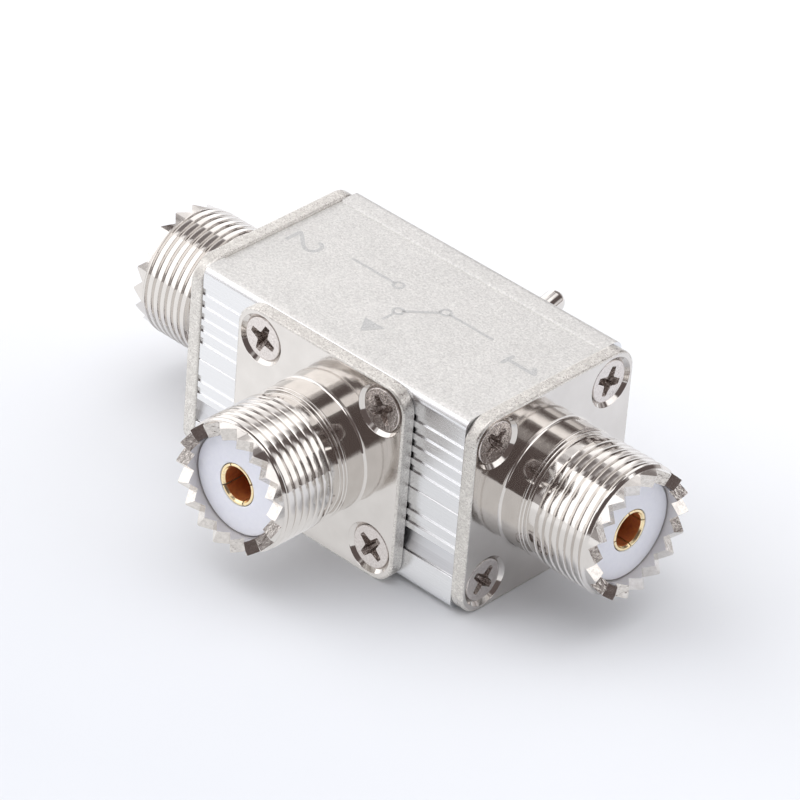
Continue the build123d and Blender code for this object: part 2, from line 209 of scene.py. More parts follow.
# ------------------------------------------------------------------ materials
def blasted_aluminium():
    m = Mat("blasted_aluminium", (0.78, 0.775, 0.76), 1.0, 0.48)
    fine = m.coords()
    grains = m.grey(m.voronoi(fine, 5.6))
    clumps = m.noise(fine, 3.4, 3, 0.7)
    cloud = m.noise(m.coords(offset=(7, 3, 1)), 0.22, 3, 0.5)
    tone = m.math("ADD", m.remap(grains, 0, 1, -0.08, 0.09), m.remap(clumps, 0.3, 0.7, -0.07, 0.07))
    tone = m.math("ADD", tone, m.remap(cloud, 0.3, 0.7, -0.02, 0.02))
    tone = m.math("ADD", tone, 0.74)
    n = m.node("ShaderNodeCombineColor")
    m.link(tone, n.inputs["Red"])
    m.link(m.math("MULTIPLY", tone, 0.993), n.inputs["Green"])
    m.link(m.math("MULTIPLY", tone, 0.975), n.inputs["Blue"])
    m.color(n.outputs["Color"])
    m.rough(m.remap(grains, 0, 1, 0.38, 0.60))
    m.bump(m.noise(fine, 5.0, 3, 0.7), 0.06, 0.55)
    m.bump(m.voronoi(fine, 7.0, "Distance"), 0.03, 0.4)
    return m.mat


def drawn_aluminium(name, low, high, rough):
    m = Mat(name, tuple(0.97 * c for c in high), 1.0, rough)
    along = m.coords((0.05, 3.0, 3.0))
    lines = m.noise(along, 2.4, 3, 0.6)
    fine = m.noise(m.coords(), 7.0, 2, 0.6)
    m.color(m.mix(m.remap(lines, 0.3, 0.7, 0, 1), low, high))
    m.rough(m.math("ADD", m.remap(lines, 0.3, 0.7, rough - 0.035, rough + 0.035), m.remap(fine, 0.3, 0.7, -0.015, 0.015)))
    m.bump(lines, 0.006, 0.15)
    m.bump(fine, 0.003, 0.10)
    return m.mat


def polished_nickel(name, turned):
    """Bright nickel plate. On turned surfaces, fine rings about the axis; on flat ones, faint polishing marks."""
    m = Mat(name, (0.72, 0.685, 0.65), 1.0, 0.10)
    if turned:
        rings = m.noise(m.coords((0.02, 1.0, 1.0), "turned"), 14.0, 2, 0.6)
        soft = m.noise(m.coords((0.5, 1.0, 1.0), "turned"), 0.8, 2, 0.5)
    else:
        rings = m.noise(m.coords((1.0, 1.0, 1.0)), 9.0, 3, 0.7)
        soft = m.noise(m.coords(), 0.35, 2, 0.5)
    specks = m.voronoi(m.coords(), 0.9, "Distance")
    m.color(m.mix(m.remap(soft, 0.3, 0.7, 0, 1), (0.70, 0.675, 0.65), (0.745, 0.72, 0.695)))
    base = m.remap(rings, 0.3, 0.7, 0.07, 0.12)
    m.rough(m.math("ADD", base, m.remap(specks, 0.0, 0.06, 0.12, 0.0)))
    m.bump(rings, 0.006, 0.25 if turned else 0.10)
    m.bump(soft, 0.10, 0.08)
    return m.mat


def cut_nickel():
    """Milled facets of the toothed rim under the plating: small ripples that break the reflections up."""
    m = Mat("cut_nickel", (0.74, 0.71, 0.68), 1.0, 0.12)
    fine = m.coords()
    n1 = m.noise(fine, 2.0, 2, 0.5, 0.3)
    n2 = m.noise(fine, 7.0, 2, 0.6)
    m.color(m.mix(m.remap(n1, 0.3, 0.7, 0, 1), (0.66, 0.63, 0.60), (0.80, 0.77, 0.74)))
    m.rough(m.remap(n2, 0.3, 0.7, 0.12, 0.26))
    m.bump(n1, 0.055, 0.8)
    m.bump(n2, 0.016, 0.6)
    return m.mat


def frosted_nickel():
    m = Mat("frosted_nickel", (0.62, 0.60, 0.57), 1.0, 0.38)
    fine = m.coords()
    grains = m.grey(m.voronoi(fine, 6.2))
    patches = m.noise(fine, 1.1, 3, 0.6)
    light = m.mix(m.remap(patches, 0.35, 0.65, 0, 1), (0.74, 0.725, 0.69), (0.89, 0.87, 0.835))
    m.color(m.mix(m.remap(grains, 0.15, 0.85, 0, 1), (0.60, 0.58, 0.555), light))
    m.rough(m.remap(grains, 0, 1, 0.26, 0.50))
    m.bump(m.noise(fine, 5.0, 3, 0.7), 0.06, 0.6)
    return m.mat


def screw_metal():
    m = Mat("screw_metal", (0.74, 0.70, 0.68), 1.0, 0.20)
    fine = m.coords()
    n1 = m.noise(fine, 4.0, 3, 0.65, 0.3)
    n2 = m.noise(fine, 1.2, 2, 0.6)
    m.color(m.mix(m.remap(n1, 0.3, 0.7, 0, 1), (0.62, 0.575, 0.555), (0.82, 0.78, 0.76)))
    m.rough(m.remap(n1, 0.3, 0.7, 0.13, 0.27))
    m.bump(n1, 0.07, 0.8)
    m.bump(n2, 0.20, 0.6)
    return m.mat


def recess_painted_shade():
    """Inside of a driver recess: pressed and dull, its colour darkened as painted shade."""
    m = Mat("recess_painted_shade", (0.36, 0.31, 0.29), 1.0, 0.34)
    n1 = m.noise(m.coords(), 3.4, 3, 0.65, 0.4)
    m.color(m.mix(m.remap(n1, 0.32, 0.68, 0, 1), (0.20, 0.165, 0.15), (0.62, 0.56, 0.53)))
    m.rough(m.remap(n1, 0.3, 0.7, 0.16, 0.34))
    m.bump(n1, 0.10, 0.9)
    return m.mat


def gold():
    m = Mat("gold_plate", (0.96, 0.82, 0.52), 1.0, 0.20)
    n1 = m.noise(m.coords((1.0, 1.0, 1.0)), 5.0, 3, 0.6)
    m.color(m.mix(m.remap(n1, 0.3, 0.7, 0, 1), (0.93, 0.73, 0.40), (1.0, 0.88, 0.62)))
    m.rough(m.remap(n1, 0.3, 0.7, 0.15, 0.26))
    m.bump(n1, 0.02, 0.4)
    return m.mat


def gold_bore_painted_shade():
    """Inside of the gold socket: painted shade and reflection, a deep orange brown standing in for the plating that
    only sees itself.
    """
    m = Mat("gold_bore_painted_shade", (0.60, 0.20, 0.07), 0.35, 0.42)
    n1 = m.noise(m.coords(), 2.2, 3, 0.6)
    m.color(m.mix(m.remap(n1, 0.3, 0.7, 0, 1), (0.52, 0.15, 0.06), (0.66, 0.24, 0.07)))
    m.rough(m.remap(n1, 0.3, 0.7, 0.34, 0.50))
    m.bump(n1, 0.02, 0.3)
    return m.mat


def white_plastic():
    m = Mat("white_ptfe", (0.88, 0.89, 0.95), 0.0, 0.34)
    m.put("Subsurface Weight", 0.15)
    m.put("Subsurface Radius", (0.0012, 0.0012, 0.0014))
    n1 = m.noise(m.coords(), 2.0, 3, 0.6)
    rings = m.noise(m.coords((0.01, 0.3, 1.0), "turned"), 5.0, 1, 0.5)
    m.color(m.mix(m.remap(n1, 0.3, 0.7, 0, 1), (0.815, 0.82, 0.89), (0.85, 0.855, 0.915)))
    m.rough(m.remap(n1, 0.3, 0.7, 0.28, 0.42))
    m.bump(rings, 0.015, 0.25)
    return m.mat


def plated_sheet(name, color, rough=0.3):
    m = Mat(name, color, 1.0, rough)
    lines = m.noise(m.coords((0.15, 2.5, 2.5)), 2.0, 3, 0.6)
    dark = tuple(0.86 * c for c in color)
    m.color(m.mix(m.remap(lines, 0.3, 0.7, 0, 1), dark, color))
    m.rough(m.remap(lines, 0.3, 0.7, rough - 0.07, rough + 0.08))
    m.bump(lines, 0.01, 0.3)
    return m.mat


def moulded(name, color, rough=0.5):
    m = Mat(name, color, 0.0, rough)
    n1 = m.noise(m.coords(), 5.0, 4, 0.65)
    light = tuple(min(1.0, 1.3 * c + 0.01) for c in color)
    m.color(m.mix(m.remap(n1, 0.3, 0.7, 0, 1), color, light))
    m.rough(m.remap(n1, 0.3, 0.7, rough - 0.08, rough + 0.08))
    m.bump(n1, 0.02, 0.3)
    return m.mat


def etched():
    m = Mat("etched_grey", (0.50, 0.50, 0.50), 0.6, 0.5)
    n1 = m.noise(m.coords(), 5.0, 3, 0.7)
    m.color(m.mix(m.remap(n1, 0.35, 0.65, 0, 1), (0.47, 0.47, 0.47), (0.70, 0.70, 0.695)))
    m.rough(m.remap(n1, 0.3, 0.7, 0.45, 0.65))
    m.bump(n1, 0.02, 0.5)
    return m.mat


MAT = {
    "blasted": blasted_aluminium(),
    "drawn": drawn_aluminium("drawn_aluminium", (0.76, 0.77, 0.79), (0.82, 0.83, 0.85), 0.245),
    "nickel_flat": polished_nickel("polished_nickel", False),
    "nickel_turned": polished_nickel("turned_nickel", True),
    "nickel_cut": cut_nickel(),
    "frosted": frosted_nickel(),
    "screw": screw_metal(),
    "recess": recess_painted_shade(),
    "gold": gold(),
    "gold_bore_painted_shade": gold_bore_painted_shade(),
    "white": white_plastic(),
    "steel": plated_sheet("plated_steel", (0.62, 0.62, 0.61), 0.34),
    "silver": plated_sheet("silvered_strip", (0.82, 0.81, 0.78), 0.28),
    "tinned": plated_sheet("tinned_copper", (0.76, 0.74, 0.71), 0.36),
    "spring": plated_sheet("spring_wire", (0.50, 0.50, 0.50), 0.30),
    "black": moulded("black_moulding", (0.035, 0.035, 0.038), 0.5),
    "nylon": moulded("natural_nylon", (0.78, 0.76, 0.70), 0.4),
    "etched": etched(),
    # rougher copy of the drawn finish for the wide groove's floor; its darker colour is painted shade
    "drawn_dull_painted_shade": drawn_aluminium("drawn_aluminium_dull_painted_shade", (0.72, 0.73, 0.76), (0.79, 0.80, 0.83), 0.44),
    # lighter, glossier copy of the drawn finish for the groove walls and the wide groove's bottom step: painted
    # highlight
    "drawn_painted_highlight": drawn_aluminium("drawn_aluminium_painted_highlight", (0.91, 0.92, 0.94), (0.96, 0.965, 0.975), 0.13),
}


# ------------------------------------------------------------------ mesh helpers
class Build:
    """Collects vertices and faces in millimetres, with a material index per face and a turned coordinate per vertex."""

    def __init__(self):
        self.v, self.t, self.f, self.m = [], [], [], []

    def add(self, verts, faces, mat=0, turned=None):
        k = len(self.v)
        self.v += [tuple(map(float, p)) for p in verts]
        self.t += [tuple(map(float, p)) for p in (turned if turned is not None else verts)]
        self.f += [tuple(k + i for i in f) for f in faces]
        self.m += [mat] * len(faces)
        return k

    def mesh(self, name, merge=2e-4):
        me = bpy.data.meshes.new(name)
        me.from_pydata(self.v, [], self.f)
        for m in list(MAT.values())[: max(self.m) + 1]:
            me.materials.append(m)
        me.polygons.foreach_set("material_index", self.m)
        a = me.attributes.new("turned", "FLOAT_VECTOR", "POINT")
        a.data.foreach_set("vector", np.array(self.t, np.float32).ravel())
        bm = bmesh.new()
        bm.from_mesh(me)
        bmesh.ops.remove_doubles(bm, verts=bm.verts, dist=merge)
        bmesh.ops.dissolve_degenerate(bm, edges=bm.edges, dist=1e-5)
        bmesh.ops.recalc_face_normals(bm, faces=bm.faces)
        bm.to_mesh(me)
        bm.free()
        return me


def holder(me, name="tmp"):
    o = bpy.data.objects.new(name, me)
    bpy.context.scene.collection.objects.link(o)
    return o


def evaluated(o):
    """The mesh of o with its modifiers applied; o is removed."""
    bpy.context.view_layer.update()
    dg = bpy.context.evaluated_depsgraph_get()
    me = bpy.data.meshes.new_from_object(o.evaluated_get(dg), preserve_all_data_layers=True, depsgraph=dg)
    old = o.data
    bpy.data.objects.remove(o)
    bpy.data.meshes.remove(old)
    return me


def boolean(me, cutter, op="DIFFERENCE"):
    a, b = holder(me), holder(cutter)
    mod = a.modifiers.new("cut", "BOOLEAN")
    mod.operation, mod.solver, mod.object = op, "EXACT", b
    out = evaluated(a)
    cut = b.data
    bpy.data.objects.remove(b)
    bpy.data.meshes.remove(cut)
    return out


def bevelled(me, width, angle=35.0, segments=2):
    o = holder(me)
    mod = o.modifiers.new("bevel", "BEVEL")
    mod.width, mod.segments = width, segments
    mod.limit_method, mod.angle_limit = "ANGLE", math.radians(angle)
    mod.use_clamp_overlap, mod.harden_normals = True, False
    mod.miter_outer = "MITER_ARC"
    return evaluated(o)


def finished(me, sharp=32.0, weighted=True):
    """Smooth shading with edges above sharp degrees kept crisp; large faces keep their own normal."""
    me.polygons.foreach_set("use_smooth", [True] * len(me.polygons))
    me.set_sharp_from_angle(angle=math.radians(sharp))
    if not weighted:
        return me
    o = holder(me)
    mod = o.modifiers.new("wn", "WEIGHTED_NORMAL")
    mod.mode, mod.weight, mod.keep_sharp = "FACE_AREA", 60, True
    return evaluated(o)


def piece(name, me, place, mats, body, replaces=(), parts=None):
    """Put a mesh made in millimetres in place as a named piece. parts: several placements of one mesh."""
    if parts is not None:
        bm = bmesh.new()
        for p in parts:
            copy = me.copy()
            copy.transform(p)
            bm.from_mesh(copy)
            bpy.data.meshes.remove(copy)
        joined = bpy.data.meshes.new(name)
        bm.to_mesh(joined)
        bm.free()
        joined.polygons.foreach_set("use_smooth", [True] * len(joined.polygons))
        me = joined
    me.transform(Matrix.Scale(MM, 4) @ place)
    me.name = name
    index = np.zeros(len(me.polygons), np.int32)
    me.polygons.foreach_get("material_index", index)
    me.materials.clear()
    for m in mats:
        me.materials.append(m)
    me.polygons.foreach_set("material_index", np.minimum(index, len(mats) - 1))
    o = bpy.data.objects.new(name, me)
    bpy.context.scene.collection.objects.link(o)
    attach(o, body)
    if replaces:
        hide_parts(*replaces)
    return o


def frame_of(origin, x_dir, z_dir):
    x, z = Vector(x_dir), Vector(z_dir)
    y = z.cross(x)
    m = Matrix((x, y, z)).transposed().to_4x4()
    m.translation = Vector(origin)
    return m


def rounded(points, closed=True):
    """Corner list of (x, y, radius) to a point list with the corners rounded."""
    out, n = [], len(points)
    for i, p in enumerate(points):
        r = p[2] if len(p) > 2 else 0.0
        if r <= 0 or (not closed and i in (0, n - 1)):
            out.append((p[0], p[1]))
            continue
        a, b, c = Vector(points[i - 1][:2]), Vector(p[:2]), Vector(points[(i + 1) % n][:2])
        u, w = (a - b), (c - b)
        lu, lw = u.length, w.length
        u.normalize(), w.normalize()
        angle = math.acos(max(-1, min(1, u.dot(w))))
        turn = math.pi - angle
        if turn < 0.02:
            out.append((p[0], p[1]))
            continue
        t = min(r * math.tan(turn / 2), 0.49 * lu, 0.49 * lw)
        r = t / math.tan(turn / 2)
        mid = (u + w).normalized()
        centre = b + mid * (r / math.cos(turn / 2))
        s = b + u * t
        e = b + w * t
        a0 = math.atan2(s.y - centre.y, s.x - centre.x)
        a1 = math.atan2(e.y - centre.y, e.x - centre.x)
        d = (a1 - a0 + math.pi) % TAU - math.pi
        k = max(2, int(math.ceil(abs(d) / math.radians(18))))
        for j in range(k + 1):
            q = a0 + d * j / k
            out.append((centre.x + r * math.cos(q), centre.y + r * math.sin(q)))
    return out


def lathe(b, profile, n=96, mat=0, closed=True, angles=None):
    """Turn an (r, z) profile about Z into b. A closed profile not on the axis gives a ring."""
    th = angles if angles is not None else [TAU * j / n for j in range(n)]
    n = len(th)
    verts, turned, rows = [], [], []
    s = 0.0
    for i, (r, z) in enumerate(profile):
        if i:
            s += math.dist(profile[i - 1], (r, z))
        if r < 1e-6:
            rows.append([len(verts)] * n)
            verts.append((0, 0, z))
            turned.append((0, s, r))
        else:
            rows.append(list(range(len(verts), len(verts) + n)))
            for q in th:
                verts.append((r * math.cos(q), r * math.sin(q), z))
                turned.append((r * math.sin(q), s, r * math.cos(q)))
    faces = []
    m = len(rows)
    for i in range(m if closed else m - 1):
        a, c = rows[i], rows[(i + 1) % m]
        for j in range(n):
            k = (j + 1) % n
            f = [a[j], a[k], c[k], c[j]]
            f = [x for t, x in enumerate(f) if x not in f[:t]]
            if len(f) > 2:
                faces.append(f)
    b.add(verts, faces, mat, turned)


# ------------------------------------------------------------------ receptacle
FLANGE, FLANGE_T, FLANGE_R = 25.4, 1.8, 3.0
COLLAR_R, BEAD_R, RELIEF_R, THREAD_R, ROOT_R = 7.80, 7.92, 7.35, 7.9375, 7.60
RIM_R, RIM_IN_R, RIM_TOP = 7.62, 6.1, 13.8
PITCH = 1.0583
FIRST_CREST = 5.38
TOOTH_DEPTH, TOOTH_WIDTH, TEETH = 1.2, 2.44, 18
P = 9.1


def rim_angles(r):
    """Angles of the rim's columns at radius r: 8 in each 20 degree sector, notch bottom first."""
    half = math.radians(180 / TEETH)
    edge = min(half, math.asin(min(1.0, TOOTH_WIDTH / 2 / r)))
    rel = [0, edge / 3, 2 * edge / 3, edge, half, 2 * half - edge, 2 * half - 2 * edge / 3, 2 * half - edge / 3]
    return [half + 2 * half * k + x for k in range(TEETH) for x in rel]


def rim_height(r, i):
    """Height of the toothed rim at radius r in column i."""
    half = math.radians(180 / TEETH)
    edge = min(half, math.asin(min(1.0, TOOTH_WIDTH / 2 / r)))
    rel = [0, edge / 3, 2 * edge / 3, edge, half, edge, 2 * edge / 3, edge / 3][i % 8]
    slope = TOOTH_DEPTH / (TOOTH_WIDTH / 2)
    return min(RIM_TOP, RIM_TOP - TOOTH_DEPTH + slope * abs(r * math.sin(rel)))


def thread_profile(u, lean=0.10, flat=0.285, root=0.455):
    """Height of the thread, 0 at the root and 1 at the crest, at phase u from the crest, in pitches.
    The crest is lower by lean on one side: the nearer side to the flange if lean is positive."""
    side = (u + 0.5) % 1.0 - 0.5
    u = abs(side)
    slope = abs(lean) * (flat - math.copysign(side, side * lean)) / (2 * flat)
    if u <= flat:
        return 1.0 - slope - 0.03 * (u / flat) ** 2
    top = 0.97 if side * lean > 0 else 0.97 - abs(lean)
    if u >= root:
        return 0.0
    return top * (1 - (u - flat) / (root - flat))


def smooth(x):
    x = max(0.0, min(1.0, x))
    return x * x * (3 - 2 * x)


def thread_patch(b, th, z_lo, z_hi, radius_at, pitch, first, per_pitch=18, mat=0):
    """A cylinder wall from z_lo to z_hi whose rows follow a right-hand helix, so crests and roots lie along edges."""
    n, k = len(th), per_pitch
    i0 = int(math.floor((z_lo - first) / pitch * k)) - k - 1
    i1 = int(math.ceil((z_hi - first) / pitch * k)) + 1
    verts, turned, index = [], [], {}
    for i in range(i0, i1 + 1):
        for j, q in enumerate(th):
            lead = (q % TAU) / TAU
            z = first + (i / k + lead) * pitch
            z = max(z_lo, min(z_hi, z))
            r = radius_at(q, z)
            index[i, j] = len(verts)
            verts.append((r * math.cos(q), r * math.sin(q), z))
            turned.append((7 * math.sin(q), z + (r - 7) * 0.7, 7 * math.cos(q)))
    start = min(range(n), key=lambda j: th[j] % TAU)
    faces = []
    for i in range(i0, i1):
        for j in range(n):
            jn = (j + 1) % n
            if jn == start:
                a2, a3 = (i + k, jn), (i + 1 + k, jn)
                a2 = a2 if a2 in index else (i1, jn)
                a3 = a3 if a3 in index else (i1, jn)
            else:
                a2, a3 = (i, jn), (i + 1, jn)
            f = [index[i, j], index[a2], index[a3], index[i + 1, j]]
            f = [x for t, x in enumerate(f) if x not in f[:t]]
            if len(f) > 2:
                faces.append(f)
    b.add(verts, faces, mat, turned)


def flat_ring(b, outer, holes, z, mat=0):
    """Planar face at height z between an outer loop and holes, all lists of (x, y)."""
    pts, edges = [], []
    for loop in [outer] + holes:
        k = len(pts)
        pts += [Vector(p) for p in loop]
        edges += [(k + i, k + (i + 1) % len(loop)) for i in range(len(loop))]
    v, _, f, *_ = delaunay_2d_cdt(pts, edges, [], 0, 1e-7)

    def inside(p, loop):
        hit = False
        for i in range(len(loop)):
            (x0, y0), (x1, y1) = loop[i - 1], loop[i]
            if (y0 > p[1]) != (y1 > p[1]) and p[0] < (x1 - x0) * (p[1] - y0) / (y1 - y0) + x0:
                hit = not hit
        return hit

    keep = []
    for t in f:
        c = sum((Vector(v[i]) for i in t), Vector((0, 0))) / len(t)
        if inside(c, outer) and not any(inside(c, h) for h in holes):
            keep.append(t)
    b.add([(p[0], p[1], z) for p in v], keep, mat, [(p[0], p[1], 0) for p in v])


def square_loop(half, radius, k=14):
    out = []
    for q0, sx, sy in ((0, 1, 1), (90, -1, 1), (180, -1, -1), (270, 1, -1)):
        cx, cy = sx * (half - radius), sy * (half - radius)
        for i in range(k + 1):
            a = math.radians(q0 + 90 * i / k)
            out.append((cx + radius * math.cos(a), cy + radius * math.sin(a)))
    return out


def circle_loop(r, n, cx=0.0, cy=0.0, angles=None):
    th = angles if angles is not None else [TAU * j / n for j in range(n)]
    return [(cx + r * math.cos(q), cy + r * math.sin(q)) for q in th]


def strip(b, loops, mat=0):
    """Quads between successive closed loops of (x, y, z) with equal counts."""
    n = len(loops[0])
    verts = [p for loop in loops for p in loop]
    faces = [
        (i * n + j, i * n + (j + 1) % n, (i + 1) * n + (j + 1) % n, (i + 1) * n + j)
        for i in range(len(loops) - 1)
        for j in range(n)
    ]
    b.add(verts, faces, mat)


def receptacle_mesh(phase, lean):
    """Flange, barrel, thread and toothed rim as one closed mesh. Materials: 0 flat polish, 1 turned, 2 frosted edge, 3 cut facets."""
    b = Build()
    th = rim_angles(RIM_R)
    foot = 0.35
    # outside of the barrel up to the start of the thread
    z_lo, z_hi = 4.72, 12.34
    profile = [(COLLAR_R + foot, 0.0)]
    for k in range(1, 7):
        a = math.radians(90 * k / 6)
        profile.append((COLLAR_R + foot * (1 - math.sin(a)), foot * (1 - math.cos(a))))
    profile += rounded(
        [
            (COLLAR_R, 0.6), (COLLAR_R, 2.66, 0.05), (BEAD_R, 2.78, 0.10), (BEAD_R, 2.98, 0.05), (BEAD_R - 0.07, 3.02, 0.03),
            (BEAD_R - 0.05, 3.48, 0.14), (RELIEF_R, 3.52, 0.10), (RELIEF_R, z_lo),
        ],
        closed=False,
    )
    lathe(b, profile, mat=1, closed=False, angles=th)

    def radius_at(q, z):
        u = (z - FIRST_CREST) / PITCH - (q % TAU) / TAU - phase
        grow = smooth((z - 4.86) / 0.30)
        r = RELIEF_R + (ROOT_R - RELIEF_R + (THREAD_R - ROOT_R) * thread_profile(u, lean, 0.335, 0.465)) * grow
        chamfer = THREAD_R - (THREAD_R - RIM_R) * max(0.0, z - 11.94) / (z_hi - 11.94)
        return max(min(r, chamfer), RIM_R if z > 12.2 else 0.0)

    thread_patch(b, th, z_lo, z_hi, radius_at, PITCH, FIRST_CREST, mat=1)
    # chamfer, then the outer wall of the toothed rim
    top = [rim_height(RIM_R, i) for i in range(len(th))]
    ring = lambda r, z: [(r * math.cos(q), r * math.sin(q), z) for q in th]
    wall = [(RIM_R, z_hi), (RIM_R, 12.50)]
    loops = [ring(r, z) for r, z in wall]
    last = 12.50
    loops.append([(RIM_R * math.cos(q), RIM_R * math.sin(q), max(last, h - 0.0)) for q, h in zip(th, top)])
    strip(b, loops, 1)
    # tooth facets, from the outer wall to the inner wall
    radii = [RIM_R, 7.35, 7.05, 6.6, RIM_IN_R]
    loops = []
    for r in radii:
        loops.append([(r * math.cos(q), r * math.sin(q), rim_height(r, i)) for i, q in enumerate(rim_angles(r))])
    strip(b, loops, 3)
    inner = rim_angles(RIM_IN_R)
    ring_in = lambda r, z: [(r * math.cos(q), r * math.sin(q), z) for q in inner]
    strip(b, [loops[-1], ring_in(RIM_IN_R, 12.3), ring_in(RIM_IN_R, 4.0), ring_in(4.0, 4.0), ring_in(4.0, -FLANGE_T)], 1)
    # flange
    half, e = FLANGE / 2, 0.28
    holes = [(sx * P, sy * P) for sx in (-1, 1) for sy in (-1, 1)]
    lip = 0.06
    flat_ring(
        b, square_loop(half - e, FLANGE_R - e),
        [circle_loop(COLLAR_R + foot, 0, angles=th)] + [circle_loop(3.1 + lip, 56, x, y) for x, y in holes], 0.0, 0,
    )
    flat_ring(
        b, square_loop(half - e, FLANGE_R - e),
        [circle_loop(4.0, 0, angles=inner)] + [circle_loop(1.7, 56, x, y) for x, y in holes], -FLANGE_T, 0,
    )
    edge = []
    for k in range(5):
        a = math.radians(90 * k / 4)
        d = e * (1 - math.sin(a))
        edge.append([(x, y, -e * (1 - math.cos(a))) for x, y in square_loop(half - d, FLANGE_R - d)])
    for k in range(5):
        a = math.radians(90 * k / 4)
        d = e * (1 - math.cos(a))
        edge.append([(x, y, -FLANGE_T + e - e * math.sin(a)) for x, y in square_loop(half - d, FLANGE_R - d)])
    strip(b, edge, 2)
    for x, y in holes:
        sink = [(3.1 + lip, 0.0), (3.1 + lip * 0.3, -lip * 0.25), (3.1, -lip), (1.7, -1.4), (1.7, -FLANGE_T)]
        strip(b, [[(px, py, z) for px, py in circle_loop(r, 56, x, y)] for r, z in sink], 0)
    return b.mesh("receptacle")


def crisp_rim(me):
    """Break the rim's sharp edges by a few hundredths of a millimetre."""
    bm = bmesh.new()
    bm.from_mesh(me)
    layer = bm.edges.layers.float.get("bevel_weight_edge") or bm.edges.layers.float.new("bevel_weight_edge")
    for e in bm.edges:
        if min(v.co.z for v in e.verts) > 12.45 and len(e.link_faces) == 2 and e.calc_face_angle(0) > math.radians(24):
            e[layer] = 1.0
    bm.to_mesh(me)
    bm.free()
    o = holder(me)
    mod = o.modifiers.new("bevel", "BEVEL")
    mod.width, mod.segments, mod.limit_method = 0.05, 2, "WEIGHT"
    mod.use_clamp_overlap = True
    return evaluated(o)


def insulator_mesh():
    b = Build()
    profile = rounded(
        [
            (1.6, -3.8), (4.0, -3.8), (4.0, 4.0), (6.08, 4.0), (6.08, 12.06, 0.22), (4.6, 12.06), (4.5, 12.03),
            (3.3, 12.03), (3.2, 12.06), (2.58, 12.06, 0.10), (2.58, 1.0), (1.6, 1.0),
        ]
    )
    lathe(b, profile, 96)
    return b.mesh("insulator")


def contact_mesh():
    """Socket with four slots: four quarter shells on a turned base and stem."""
    b = Build()
    base = rounded(
        [
            (0, 1.8), (2.0, 1.8), (2.0, 5.5), (2.5, 5.5), (2.5, 1.0, 0.1), (1.6, 1.0), (1.6, -7.8, 0.1), (0.8, -7.8),
            (0.8, -4.6), (0, -4.6),
        ],
        closed=False,
    )
    lathe(b, base, 64, closed=False)
    half = 0.075
    for quarter in range(4):
        sections = []
        steps = 14
        outline = rounded(
            [(2.0, 5.5), (2.5, 5.5), (2.5, 12.06, 0.12), (2.22, 12.06, 0.05), (2.0, 11.80, 0.08)]
        )
        for k in range(steps + 1):
            ring = []
            for r, z in outline:
                lo = math.asin(half / r)
                q = math.radians(90 * quarter) + lo + (math.pi / 2 - 2 * lo) * k / steps
                ring.append((r * math.cos(q), r * math.sin(q), z))
            sections.append(ring)
        m = len(outline)
        verts = [p for s in sections for p in s]
        faces = [
            (i * m + j, i * m + (j + 1) % m, (i + 1) * m + (j + 1) % m, (i + 1) * m + j)
            for i in range(steps) for j in range(m)
        ]
        faces += [tuple(range(m)), tuple(steps * m + j for j in reversed(range(m)))]
        b.add(verts, faces)
    me = b.mesh("contact", merge=1e-5)
    # faces inside the socket take the deep orange brown: painted shade and reflection
    me.materials.append(MAT["gold_bore_painted_shade"])
    for f in me.polygons:
        r = max(math.hypot(me.vertices[i].co.x, me.vertices[i].co.y) for i in f.vertices)
        if r < 2.02 and f.center.z > 1.7:
            f.material_index = 1
    return me


def screw_mesh():
    b = Build()
    top = -0.30
    profile = rounded(
        [
            (0, top), (2.58, top, 0.17), (2.58, top - 0.24, 0.05), (1.45, top - 1.37), (1.45, top - 7.7), (1.1, top - 8.0),
            (0, top - 8.0),
        ],
        closed=False,
    )
    lathe(b, profile, 72, closed=False)
    me = b.mesh("screw")
    # cross recess: arms with rounded ends and filleted inner corners, narrowing as they go down
    c = Build()

    def cross(arm, w, z):
        f = 0.20
        pts = []
        for k in range(4):
            a = math.radians(90 * k)
            for x, y, r in ((w, w, f), (arm, 0.62 * w, 0.12), (arm, -0.62 * w, 0.12)):
                pts.append((x * math.cos(a) - y * math.sin(a), x * math.sin(a) + y * math.cos(a), r, k))
        # keep the order counter-clockwise: arm end low, arm end high, inner corner
        ordered = []
        for k in range(4):
            inner, hi, lo = pts[3 * k], pts[3 * k + 1], pts[3 * k + 2]
            ordered += [(lo[0], lo[1], lo[2]), (hi[0], hi[1], hi[2]), (inner[0], inner[1], inner[2])]
        return [(x, y, z) for x, y in rounded(ordered)]

    loops = [cross(1.95, 0.62, top + 0.25), cross(1.82, 0.56, top), cross(1.10, 0.36, top - 0.90), cross(0.5, 0.22, top - 1.20)]
    strip(c, loops)
    n = len(loops[0])
    c.f += [tuple(reversed(range(n))), tuple(3 * n + i for i in range(n))]
    c.m += [0, 0]
    me = bevelled(boolean(me, c.mesh("cross")), 0.06, 40, 2)
    # faces down in the recess take the darker metal: painted shade
    me.materials.append(MAT["recess"])
    for f in me.polygons:
        if math.hypot(f.center.x, f.center.y) < 1.95 and top - 1.5 < f.center.z < top - 0.075:
            f.material_index = 1
    return me


PORTS = {
    "port_1": (
        frame_of((21.8, 0, AXIS_Z), (0, 1, 0), (1, 0, 0)),
        {(-1, 1): 40, (-1, -1): 48, (1, 1): -22, (1, -1): 10}, 0.0, 10, 0.22,
    ),
    "port_2": (
        frame_of((-21.8, 0, AXIS_Z), (0, -1, 0), (-1, 0, 0)),
        {(-1, 1): 14, (-1, -1): 71, (1, 1): 33, (1, -1): -17}, 0.37, 35, -0.22,
    ),
    "common_port": (
        frame_of((0, -14.3, AXIS_Z), (1, 0, 0), (0, -1, 0)),
        {(-1, 1): -20, (-1, -1): 25, (1, 1): 32, (1, -1): 52}, 0.71, 27.5, -0.20,
    ),
}

